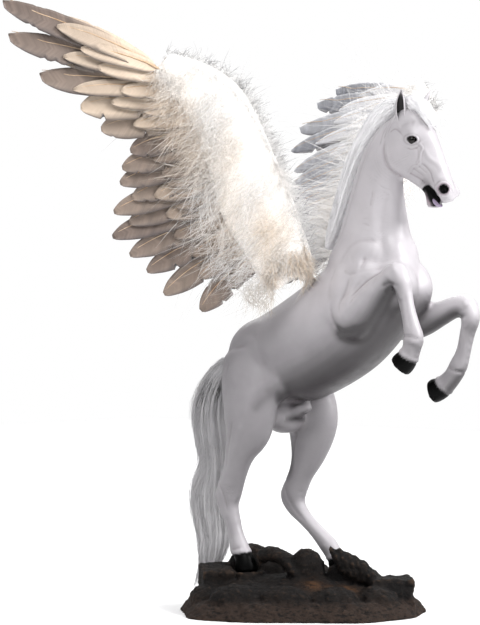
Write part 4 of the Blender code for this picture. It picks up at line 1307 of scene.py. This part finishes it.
def buildCoverts(side, axes, master, face):
    pieces = []
    for row, (reach, wide, over, light) in covertRows.items():
        feathers = flightFeathers[side] if row == "long" else flightFeathers[side][:5]
        for number, (_, rootU, rootV, tipU, tipV, _, _) in enumerate(feathers):
            root = np.array([rootU, rootV], float)
            span = np.array([tipU, tipV], float) - root
            half, pale, share = wide, light, reach
            if number < primaryCoverts["count"] and row == "long":
                half, pale, share = (primaryCoverts[key] for key in ("half", "pale", "share"))
            share = share * chance.uniform(0.88, 1.1)
            away = np.array([-span[1], span[0]]) * chance.uniform(-0.05, 0.05)
            if row == "short":
                away = away - np.array([-span[1], span[0]]) * 0.05
            tip = root + span * share + away
            lift = face * (over + chance.uniform(-0.3, 0.5))
            pale = pale + chance.uniform(-0.15, 0.15)
            half = half * chance.uniform(0.9, 1.12)
            start = root - span * 0.02
            notches = randomNotches(1)
            pieces.append(shapeFeather(master, axes, start, tip, half, lift, pale, False, notches))
    name = side + ("FrontCoverts" if face < 0 else "BackCoverts")
    coverts = joinPieces(pieces, name)
    coverts.data.shade_smooth()
    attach(coverts, "root")


# Down over the arm: a soft bed and thousands of barbs, in one half on each face of the wing
armForm = {
    "boardFront": [(-6, 6), (8, 50), (24, 94), (42, 131), (64, 172), (98, 205), (150, 226)],
    "boardRear": [(24, 4), (42, 40), (62, 76), (82, 114), (98, 150), (120, 184), (156, 214)],
    "nearRoots": {"front": [(2, -16), (-12, 20)], "rear": [(40, -34), (64, -18)]},
    "front": [
        (-16, 4), (-12, 26), (-2, 50), (6, 70), (16, 92), (24, 112), (34, 132),
        (43, 152), (54, 175), (67, 198), (86, 214), (112, 227), (148, 234),
    ],
    "rear": [
        (40, -20), (62, -8), (82, 8), (98, 26), (110, 44), (116, 64), (118, 84),
        (122, 104), (127, 124), (132, 144), (141, 164), (156, 184), (172, 208),
    ],
    # the far wing's tip lies lower behind the head
    "farTip": {
        "front": [(66, 192), (84, 202), (108, 208), (144, 212)],
        "rear": [(140, 160), (154, 176), (168, 192)],
    },
    "fullness": [7, 12, 15, 17, 18, 18, 18, 18, 17, 16, 14, 11, 6],
    "bedShare": 0.62,
    # where barbs root: from and to across the arm, and how far along it
    "spreads": {"all": (0, 1, 1), "front": (0, 0.16, 1), "rear": (0.4, 1, 1), "root": (0, 1, 0.1)},
    "tuftSize": 20,
    # most barbs on the faces that the photograph shows, thicker ones on the hidden faces
    "barbs": {"rightFront": 6800, "leftBack": 3600, "rightBack": 2000, "leftFront": 2000},
    "barbLength": (17, 38),
    "barbRadius": 0.17,
    "hiddenThicker": 2.2,
    "wispShare": 0.08,
    "fringe": {"right": 900, "left": 420},
    "fringeLength": (8, 20),
    # count, shortest, longest
    "rootTufts": (900, 14, 30),
    "wisps": {"right": (700, 24, 46), "left": (1500, 45, 92)},
    # thickness from root to tip, as shares of the radius
    "barbTaper": [1, 0.9, 0.75, 0.5, 0.1],
}


def armEdges(side, face):
    front, rear = list(armForm["front"]), list(armForm["rear"])
    if side == "right" and face < 0:
        front[:2], rear[:2] = armForm["nearRoots"]["front"], armForm["nearRoots"]["rear"]
    if side == "left":
        front[-4:], rear[-3:] = armForm["farTip"]["front"], armForm["farTip"]["rear"]
    return front, rear


def armGrids(side, face):
    board = zip(smoothRows(armForm["boardFront"], 2), smoothRows(armForm["boardRear"], 2))
    inner, outer = [], []
    for (lead, trail), front, rear, full in zip(board, *armEdges(side, face), armForm["fullness"]):
        front, rear = np.array(front, float), np.array(rear, float)
        ahead = unit(lead - trail)
        profile = [
            (front, 0.2, 0.06),
            (lead + ahead * 1.2, 0.2, 0.62),
            (lead + ahead * 0.5, 2.35, 0.7),
            ((lead + trail) / 2, 2.35, 1.0),
            (trail - ahead * 1.5, 2.7, 0.95),
            ((trail + rear) / 2, 4.4, 0.62),
            (rear, 4.4, 0.06),
        ]
        inner.append([(*place, face * seat) for place, seat, _ in profile])
        outer.append([(*place, face * (seat + full * part)) for place, seat, part in profile])
    grids = []
    for grid in (inner, outer):
        rows = smoothRows(np.array(grid).reshape(13, -1), 3).reshape(-1, 7, 3)
        columns = smoothRows(rows.transpose(1, 0, 2).reshape(7, -1), 3)
        grids.append(columns.reshape(-1, rows.shape[0], 3).transpose(1, 0, 2))
    return grids


def sampleGrid(grid, a, b):
    i = np.clip(a.astype(int), 0, grid.shape[0] - 2)
    j = np.clip(b.astype(int), 0, grid.shape[1] - 2)
    s, t = (a - i)[:, None], (b - j)[:, None]
    near = grid[i, j] * (1 - t) + grid[i, j + 1] * t
    far = grid[i + 1, j] * (1 - t) + grid[i + 1, j + 1] * t
    return near * (1 - s) + far * s


def growBarbs(side, axes, grid, face, count, lengths, spread):
    # "all" over the arm, "front" at its dark front edge, "rear" wisps over the feathers, "root" tufts
    rows, columns = grid.shape[0] - 1, grid.shape[1] - 1
    tufts = max(count // armForm["tuftSize"], 1)
    low, high, reach = armForm["spreads"][spread]
    tuftA = chance.uniform(0, rows * reach, tufts)
    tuftB = chance.uniform(low, high, tufts) * columns
    lean = chance.normal(0, 0.5, (tufts, 3))
    tuft = chance.integers(0, tufts, count)
    # half of the barbs stand in tufts, half by themselves
    alone = chance.random(count) < 0.5
    a = tuftA[tuft] + chance.normal(0, 0.5, count)
    b = tuftB[tuft] + chance.normal(0, 0.6, count)
    a = np.where(alone, chance.uniform(0, rows * reach, count), a)
    b = np.where(alone, chance.uniform(low, high, count) * columns, b)
    a, b = np.clip(a, 0, rows), np.clip(b, 0, columns)
    root = sampleGrid(grid, a, b)
    share = b / columns
    rear, front = sampleGrid(grid, a, np.full(count, float(columns))), sampleGrid(grid, a, b * 0)
    acrossRow = unit(rear - front)
    towards = acrossRow * (ramp(share, 0.08, 0.45)[:, None] * 2.0 - 0.95)
    normal = np.array([0, 0, face]) * (0.4 + 0.35 * np.sin(math.pi * share))[:, None]
    armWay = np.array([0.55, 0.83, 0]) * (0.3 * np.sin(a / 3.1) - 0.1)[:, None]
    aim = towards + normal + armWay + lean[tuft] + chance.normal(0, 0.2, (count, 3))
    if spread == "front":
        aim = np.array([0.1, 0.3, 0]) - acrossRow + chance.normal(0, 0.36, (count, 3))
    if spread == "rear":
        aim = acrossRow + np.array([0.2, -0.1, face * 0.16]) + lean[tuft] * 0.8
        aim = aim + chance.normal(0, 0.16, (count, 3))
    if spread == "root":
        aim = np.array([-0.1, -1.0, face * 0.35]) + lean[tuft] * 0.7
        aim = aim + chance.normal(0, 0.2, (count, 3))
    aim = unit(aim)
    length = chance.uniform(*lengths, count)
    if spread == "all":
        wisps = chance.random(count) < armForm["wispShare"]
        length = np.where(wisps & (share > 0.45), length * 1.6, length)
        length = length * (0.62 + 0.5 * ramp(share, 0.2, 0.8))
    length = length * (0.6 + 0.4 * ramp(a / rows, 0, 0.2)) * (1 - 0.4 * ramp(a / rows, 0.85, 1))
    if side == "left":
        # short where they would show past the neck
        length = np.where((share < 0.3) & (a < rows * 0.8), length * 0.4, length)
    curl = lean[tuft] * 0.6 + chance.normal(0, 0.5, (count, 3)) + np.array([0, -0.22, 0])
    curl[:, 2] -= face * (0.05 if spread == "rear" else 0.35)
    steps = np.linspace(0, 1, len(armForm["barbTaper"]))[None, :, None]
    # each barb roots 2.5 mm inside the bed
    path = root[:, None] - aim[:, None] * 2.5 + aim[:, None] * length[:, None, None] * steps
    path = path + curl[:, None] * length[:, None, None] * 0.5 * steps**2
    world = toWorld(axes, path)
    # no barb stands over the wing tips
    excess = np.maximum(world[:, -1, 2] - cadBox[1][2], 0)
    world[:, :, 2] -= excess[:, None] * steps[0, :, 0] ** 2
    return world, share, a / rows


def buildBed(name, axes, inner, outer):
    # a closed pillow between the two grids, pressed down so that the barbs stand over it
    middle = inner + (outer - inner) * armForm["bedShare"]
    rings = []
    for low, high in zip(toWorld(axes, inner), toWorld(axes, middle)):
        rings.append([Vector(p) for p in low] + [Vector(p) for p in high[::-1]])
    bed = tubeFromRings(name, rings)
    applyModifier(bed, "SUBSURF", levels=1, render_levels=1)
    grain = bpy.data.textures.new(name + "Fluff", "CLOUDS")
    grain.noise_scale = 5 * mm
    fluff = {"texture": grain, "texture_coords": "LOCAL", "strength": 1.6 * mm, "mid_level": 0.5}
    applyModifier(bed, "DISPLACE", **fluff)
    dark, warm, stray = 0.0, 0.16, 0.2
    paintPoints(bed, "tone", np.tile([dark, warm, stray], (len(bed.data.vertices), 1)))
    return bed


def downTones(side, face, share, along, count, steps):
    # how dark, how warm and how stray each barb is, the same over its length
    stray = chance.random(count)
    warmBand = np.exp(-(((share - 0.6) / 0.25) ** 2)) * 0.8 + 0.3 * ramp(share, 0.75, 1)
    low = 1.15 - 0.75 * ramp(along, 0.2, 0.75)
    patches = 0.55 + 0.45 * np.sin(along * 17 + 2.5 * np.sin(share * 9))
    warm = warmBand * patches * low * chance.uniform(0.3, 1.0, count)
    if side == "right":
        peach = 0.75 * ramp(share, 0.62, 0.85) * ramp(along, 0.45, 0.7)
        warm = np.maximum(warm, peach * chance.uniform(0.4, 1, count))
    dark = np.where(share < 0.05, chance.uniform(0.0, 0.35, count), 0.0)
    if face > 0:
        warm = warm * 0.4
        slate = (chance.random(count) < 0.12) * chance.uniform(0.2, 0.5, count)
        dark = np.maximum(dark, slate * ramp(share, 0.6, 0.9))
    tones = np.stack([dark, np.clip(warm, 0, 1), stray], axis=1)
    return np.repeat(tones[:, None], steps, axis=1)


def growThreads(side, axes, grid, face, count, lengths, radius, spread):
    paths, share, along = growBarbs(side, axes, grid, face, count, lengths, spread)
    taper = np.array(armForm["barbTaper"])
    radii = radius * mm * taper * chance.uniform(0.7, 1.25, (count, 1))
    tones = downTones(side, face, share, along, count, len(taper))
    if spread == "front":
        tones[:, :, 0] = chance.uniform(0.4, 1, count)[:, None]
        tones[:, :, 1] = 0
    if spread == "root":
        tones[:, :, 0] = 0.35 * ramp(share, 0.6, 1)[:, None]
        tones[:, :, 1] = chance.uniform(0.2, 0.9, count)[:, None]
    return threadPiece(side + spread + "Barbs", paths, radii, tones)


def buildDown(side, axes, face):
    part = side + ("Front" if face < 0 else "Back")
    label = part + "Down"
    seen = (side == "right") == (face < 0)
    inner, outer = armGrids(side, face)
    bed = buildBed(label + "Bed", axes, inner[:, 1:-3], outer[:, 1:-3])
    finishPiece(bed, pillow, "down")
    skin = outer * 0.8 + inner * 0.2
    radius = armForm["barbRadius"] * (1 if seen else armForm["hiddenThicker"])
    # spread, grid, count, shortest, longest, radius
    plan = [("all", skin, armForm["barbs"][part], *armForm["barbLength"], radius)]
    if seen and side == "right":
        plan.append(("root", skin, *armForm["rootTufts"], 0.28))
    if seen:
        plan.append(("rear", skin, *armForm["wisps"][side], 0.2))
    if face > 0:
        edge = (outer + inner) / 2
        plan.append(("front", edge, armForm["fringe"][side], *armForm["fringeLength"], 0.36))
    pieces = []
    for spread, grid, count, least, most, thick in plan:
        pieces.append(growThreads(side, axes, grid, face, count, (least, most), thick, spread))
    piece = joinPieces(pieces, label)
    finishPiece(piece, down, "down", side + ("_front_down" if face < 0 else "_back_down"))


for wing in ("right", "left"):
    wingPlane = wingAxes(wing)
    longFeather = masterFeather("flightMaster", featherForm["longSteps"], featherForm["wideSteps"], 6)
    shortFeather = masterFeather("covertMaster", 20, 6, 5)
    buildFlight(wing, wingPlane, longFeather)
    for wingFace in (-1, 1):
        buildCoverts(wing, wingPlane, shortFeather, wingFace)
        buildDown(wing, wingPlane, wingFace)
    bpy.data.objects.remove(longFeather)
    bpy.data.objects.remove(shortFeather)
    print(wing, "wing dressed")

# Hair: x, y, z, half depth, half width along each lock, and how its strands lie
strandTaper = [0.6, 1, 0.95, 0.85, 0.6, 0.1]
hairForms = {
    "tail": {
        "rows": [
            (-74, 0, 256, 7, 7),
            (-90, 0, 260, 10, 9),
            (-104, 0, 255, 13, 11),
            (-117, 0, 236, 18, 13),
            (-125, 0, 210, 23, 15),
            (-122, 0, 182, 23, 15),
            (-118, 0, 150, 20, 14),
            (-127, 0, 122, 25, 15),
            (-127, 0, 98, 24, 14),
            (-123, 0, 72, 21, 12),
            (-126, 0, 54, 17, 10),
            (-130, 0, 40, 11, 7),
        ],
        "steps": 6,
        "points": 60,
        "strands": 1500,
        "reach": (0.18, 0.5),
        "radius": 0.24,
        "loose": 0.16,
        "warm": 0.16,
        "grey": 0.38,
        "darkFrom": 0.66,
        "streak": 1.3,
    },
    "mane": {
        "rows": [
            (34, 3, 384, 4, 5),
            (40, 4, 402, 7, 8),
            (50, 5, 428, 9, 9),
            (60, 5, 456, 10, 9),
            (72, 5, 482, 11, 9),
            (90, 4, 506, 12, 9),
            (106, 3, 522, 12, 9),
            (122, 2, 529, 9, 8),
            (130, 0, 531, 5, 5),
        ],
        "steps": 6,
        "points": 44,
        "strands": 1500,
        "reach": (0.12, 0.35),
        "radius": 0.17,
        "loose": 0.09,
        "warm": 0.0,
        "grey": 0.06,
        "darkFrom": 2.0,
        "streak": 0.45,
    },
    "forelock": {
        "rows": [
            (137, -1, 532, 5, 5),
            (145, -1, 531, 7.5, 7),
            (154, 0, 526, 7.5, 8),
            (163, 0, 518, 5.5, 9),
            (170, 0, 507, 3.5, 6),
        ],
        "steps": 6,
        "points": 36,
        "strands": 700,
        "reach": (0.25, 0.6),
        "radius": 0.16,
        "loose": 0.35,
        "warm": 0.0,
        "grey": 0.0,
        "darkFrom": 2.0,
        "streak": 0.8,
    },
}


def combStrands(form, skinRings):
    # strands start on the lock's skin and leave it slowly; shares run from 0 at the root to 1 at the tip
    count, steps = form["strands"], len(strandTaper)
    begin = chance.uniform(-0.05, 0.92, count)
    reach = chance.uniform(*form["reach"], count)
    angle = chance.uniform(0, form["points"], count)
    sway = chance.normal(0, 1.6, count)
    travel = np.linspace(0, 1, steps)
    shares = begin[:, None] + reach[:, None] * travel
    spots = np.clip(shares, 0, 1) * (len(skinRings) - 1)
    turns = angle[:, None] + sway[:, None] * travel**1.5
    i = np.clip(spots.astype(int), 0, len(skinRings) - 2)
    t = (spots - i)[..., None]
    j = np.floor(turns).astype(int) % form["points"]
    f = (turns - np.floor(turns))[..., None]
    k = (j + 1) % form["points"]
    lower = skinRings[i, j] * (1 - f) + skinRings[i, k] * f
    upper = skinRings[i + 1, j] * (1 - f) + skinRings[i + 1, k] * f
    skin = lower * (1 - t) + upper * t
    middle = skinRings.mean(1)
    centre = middle[i] * (1 - t) + middle[i + 1] * t
    swell = np.linspace(-0.06, form["loose"], steps)[None, :, None]
    swell = swell * chance.uniform(0.1, 1.8, (count, 1, 1))
    path = skin + (skin - centre) * swell
    past = np.clip(shares - 1, 0, 1)[..., None]
    endWay = unit(middle[-1] - middle[-3])
    path = path + endWay * past * np.linalg.norm(middle[-1] - middle[0]) * 0.5
    # strands that reach the ground turn up
    sunk = np.maximum(2 * mm - path[:, -1, 2], 0)
    path[:, :, 2] += sunk[:, None] * travel**2
    return path, shares


def buildHair(name):
    form = hairForms[name]
    phases = chance.uniform(0, 2 * math.pi, 6)

    def streaks(angle, number):
        drift = number * 0.05
        broad = math.sin(5 * angle + phases[0] + drift) + math.sin(9 * angle + phases[1] - drift)
        fine = 0.025 * math.sin(17 * angle + phases[2] + 2 * drift)
        fine += 0.02 * math.sin(23 * angle + phases[3])
        return 0.93 + (0.05 * broad + fine) * form["streak"]

    rings = limbRings(form["rows"], form["points"], form["steps"], streaks)
    core = tubeFromRings(name + "Core", rings)
    path, shares = combStrands(form, np.array([[list(p) for p in ring] for ring in rings]))
    count = len(path)
    darkTo = form["darkFrom"] + 0.4
    radii = form["radius"] * mm * np.array(strandTaper) * chance.uniform(0.6, 1.3, (count, 1))
    dark = ramp(shares, form["darkFrom"], darkTo) * chance.uniform(0.1, 0.75, (count, 1))
    dark = np.maximum(dark, form["grey"])
    warm = np.full(shares.shape, form["warm"]) * chance.uniform(0.3, 1.2, (count, 1))
    stray = np.repeat(chance.random((count, 1)), shares.shape[1], axis=1)
    tones = np.stack([dark, np.clip(warm, 0, 1), stray], axis=2)
    strands = threadPiece(name + "Strands", path, radii, tones)
    coreShare = np.repeat(np.linspace(0, 1, len(rings)), form["points"])
    coreDark = np.maximum(ramp(coreShare, form["darkFrom"], darkTo) * 0.6, form["grey"])
    flat = np.ones(len(coreShare))
    paintPoints(core, "tone", np.column_stack([coreDark, flat * form["warm"], flat * 0.5]))
    piece = joinPieces([core, strands], name + "Hair")
    finishPiece(piece, hair, "hair", name)


for lock in ("tail", "mane", "forelock"):
    buildHair(lock)
print("hair combed")

# Rock base, laid out square to the photographed side
baseForm = {
    "turn": 40,
    "halfLength": 127,
    "halfWidth": 85,
    "skirtTop": 18,
    "voxel": 1.8 * mm,
    # along, across, height, radii, turn
    "boulders": [
        (-8, 4, 10, 112, 72, 30, 0),
        (-53, 38, 40, 26, 18, 30, 10),
        (-20, 40, 34, 24, 20, 26, -10),
        (5, -12, 42, 20, 15, 28, 10),
        (-70, -44, 20, 26, 17, 15, 15),
        (-20, -54, 18, 28, 17, 17, -8),
        (34, -54, 18, 26, 18, 15, 10),
        (78, -36, 18, 22, 20, 14, 0),
        (62, 34, 24, 30, 26, 20, 20),
        (12, 44, 24, 30, 20, 24, 0),
        (-100, -14, 16, 18, 20, 16, 0),
        (52, -8, 32, 26, 12, 27, 0),
    ],
    "blocks": [(-90, 10, 26, 17, 21, 22, 8), (94, -14, 21, 23, 16, 18, 4)],
    # overlapping blades of bark on the ridge: along, across, height, half length, lean
    "bladeRadii": (5, 11),
    "blades": [
        (41, -15, 53, 22, -30),
        (48, -17, 51, 21, -27),
        (55, -18, 49, 19, -24),
        (62, -19, 47, 17, -21),
        (68, -19, 44, 15, -19),
        (74, -18, 39, 12, -18),
    ],
    # a fallen log with a hollow beneath it: along, across, height, depth, width
    "log": [
        (-44, 4, 58, 7, 10),
        (-32, 0, 62, 8, 12),
        (-18, -7, 57, 8, 13),
        (-8, -14, 46, 7, 12),
        (2, -20, 32, 6, 10),
    ],
    "padSpots": [(-50, -30), (31, 30)],
    "padRadius": 19,
    "padBottom": 20,
    "padTop": 42,
    "rimPoints": 64,
    # name, kind, size, depth of the cast relief
    "relief": [
        ("stoneGrain", "CLOUDS", 15, 4),
        ("stoneCracks", "VORONOI", 8, -2.4),
        ("stoneGrit", "CLOUDS", 2.6, 2.0),
    ],
    # dry brushed spots: along, across, height, size
    "tanSpots": [(12, -40, 34, 11), (24, -42, 26, 9), (48, -36, 26, 9)],
}


def addStone(centre, radii, turn, rounded):
    clearSelection()
    place = Vector(centre) * mm
    tilt = math.radians(turn)
    if rounded:
        bpy.ops.mesh.primitive_ico_sphere_add(subdivisions=4, radius=1, location=place)
    else:
        bpy.ops.mesh.primitive_cube_add(size=2, location=place)
    stone = bpy.context.object
    stone.scale = Vector(radii) * mm
    stone.rotation_euler = (tilt, 0, tilt)
    setPlace(stone)
    if not rounded:
        bpy.ops.object.mode_set(mode="EDIT")
        bpy.ops.mesh.select_all(action="SELECT")
        bpy.ops.mesh.bevel(offset=2.5 * mm, segments=2, affect="EDGES")
        bpy.ops.object.mode_set(mode="OBJECT")
    return stone


def buildBase():
    rim = []
    for i in range(baseForm["rimPoints"]):
        angle = 2 * math.pi * i / baseForm["rimPoints"]
        ahead, beside = math.cos(angle), math.sin(angle)
        wander = 1 + 0.025 * math.sin(5 * angle + 1) + 0.02 * math.sin(9 * angle)
        x = baseForm["halfLength"] * wander * math.copysign(abs(ahead) ** 0.8, ahead)
        y = baseForm["halfWidth"] * wander * math.copysign(abs(beside) ** 0.8, beside)
        rim.append((x, y))
    rings = []
    top = baseForm["skirtTop"]
    for height, share in ((-8, 1.01), (2, 1.01), (11, 0.95), (top, 0.88)):
        rings.append([Vector((x * share, y * share, height)) * mm for x, y in rim])
    parts = [tubeFromRings("skirt", rings)]
    for x, y, z, rx, ry, rz, turn in baseForm["boulders"]:
        parts.append(addStone((x, y, z), (rx, ry, rz), turn, True))
    for x, y, z, rx, ry, rz, turn in baseForm["blocks"]:
        parts.append(addStone((x, y, z), (rx, ry, rz), turn, False))
    thick, wide = baseForm["bladeRadii"]
    for x, y, z, half, lean in baseForm["blades"]:
        blade = addStone((0, 0, 0), (thick, wide, half), 0, True)
        blade.rotation_euler = (0, math.radians(lean), 0)
        blade.location = Vector((x, y, z)) * mm
        setPlace(blade)
        parts.append(blade)
    parts.append(tubeFromRings("log", limbRings(baseForm["log"], 20, 3)))
    base = joinPieces(parts, "rockAndBark")
    base.rotation_euler = (0, 0, math.radians(baseForm["turn"]))
    setPlace(base)
    pads = []
    low, high = baseForm["padBottom"], baseForm["padTop"]
    for x, y in baseForm["padSpots"]:
        clearSelection()
        bpy.ops.mesh.primitive_cylinder_add(
            vertices=40,
            radius=baseForm["padRadius"] * mm,
            depth=(high - low) * mm,
            location=(x * mm, y * mm, (low + high) / 2 * mm),
        )
        setPlace(bpy.context.object)
        pads.append(bpy.context.object)
    base = joinPieces([base, *pads], "rockAndBark")
    applyModifier(base, "REMESH", mode="VOXEL", voxel_size=baseForm["voxel"])
    for name, kind, size, depth in baseForm["relief"]:
        pattern = bpy.data.textures.new(name, kind)
        pattern.noise_scale = size * mm
        if kind == "CLOUDS":
            pattern.noise_depth = 3
        cast = {"texture": pattern, "texture_coords": "LOCAL", "strength": depth * mm, "mid_level": 0.5}
        applyModifier(base, "DISPLACE", **cast)
    points = pointsOf(base)
    points[:, 2] = np.maximum(points[:, 2], 0)
    setPoints(base, points)
    paintBase(base)
    finishPiece(base, rock, "rock", "rock_base")


def paintBase(base):
    points = pointsOf(base) / mm
    turn = math.radians(baseForm["turn"])
    along = points[:, 0] * math.cos(turn) + points[:, 1] * math.sin(turn)
    across = points[:, 1] * math.cos(turn) - points[:, 0] * math.sin(turn)
    z = points[:, 2]
    bark = ramp(along, 84, 92) * ramp(z, 16, 20)
    front = np.exp(-(((across + 46) / 14) ** 2)) * (1 - ramp(along, 20, 50)) * ramp(z, 18, 24)
    bark = np.maximum(bark, 0.8 * front)
    tan = np.zeros(len(z))
    for spotAlong, spotAcross, spotZ, size in baseForm["tanSpots"]:
        away = np.sqrt((along - spotAlong) ** 2 + (across - spotAcross) ** 2 + (z - spotZ) ** 2)
        tan = np.maximum(tan, 0.45 * np.exp(-((away / size) ** 2)))
    skirt = 1 - ramp(z, 12, 24)
    paintPoints(base, "tone", np.column_stack([bark * 0.85, tan, skirt]))


buildBase()
print("base cast")

# Pieces of the frame that keep their shape
for node, material, slot in (
    ("right_foot_pin", steel, "steel"),
    ("left_foot_pin", steel, "steel"),
    ("right_wing_board", board, "wing_board"),
    ("left_wing_board", board, "wing_board"),
):
    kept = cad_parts[node]
    kept.data.materials.clear()
    kept.data.materials.append(material)

# Floor and soft studio light
studio = {
    "floorSize": 6.0,
    "keyPower": 62,
    "fillPower": 3,
    "topPower": 25,
    "floorPower": 128,
    "skyLight": 0.18,
}


def addLamp(name, across, towards, up, size, power):
    spot = photoAim + photoAcross * across - photoAhead * towards + Vector((0, 0, up))
    aim = (photoAim - spot).to_track_quat("-Z", "Y").to_euler()
    bpy.ops.object.light_add(type="AREA", location=spot, rotation=aim)
    lamp = bpy.context.object
    lamp.name = name
    lamp.data.size = size
    lamp.data.energy = power


def buildStudio():
    clearSelection()
    bpy.ops.mesh.primitive_plane_add(size=studio["floorSize"])
    floor = bpy.context.object
    floor.name = "paleFloor"
    material, shader = newMaterial("matPaper", Roughness=0.9)
    place = addNode(material, "TexCoord").outputs["Object"]
    mottle = addNode(material, "TexNoise", {"Vector": place, "Scale": perMetre / 400, "Detail": 2})
    feed(material, shader, {"Base Color": layColours(material, "f1f1f2", [(mottle, "f6f6f6")])})
    floor.data.materials.append(material)
    addLamp("keyLight", 1.7, 1.0, 1.1, 0.8, studio["keyPower"])
    addLamp("fillLight", -1.6, 1.2, 0.5, 1.6, studio["fillPower"])
    addLamp("topLight", -0.5, 1.2, 1.5, 0.9, studio["topPower"])
    addLamp("floorLight", 0, -2.7, 2.0, 4.0, studio["floorPower"])
    # this one looks straight down on the floor behind the base
    bpy.context.object.rotation_euler = (0, 0, 0)
    world = bpy.data.worlds.new("studio")
    bpy.context.scene.world = world
    world.use_nodes = True
    tree = world.node_tree
    background = tree.nodes["Background"]
    seen = tree.nodes.new("ShaderNodeLightPath")
    level = tree.nodes.new("ShaderNodeMapRange")
    level.inputs["To Min"].default_value = studio["skyLight"]
    level.inputs["To Max"].default_value = 1.0
    tree.links.new(seen.outputs["Is Camera Ray"], level.inputs["Value"])
    tree.links.new(level.outputs["Result"], background.inputs["Strength"])
    background.inputs["Color"].default_value = (1, 1, 1, 1)
    bpy.context.scene.view_settings.view_transform = "Standard"


buildStudio()
print("studio lit")

clearSelection()
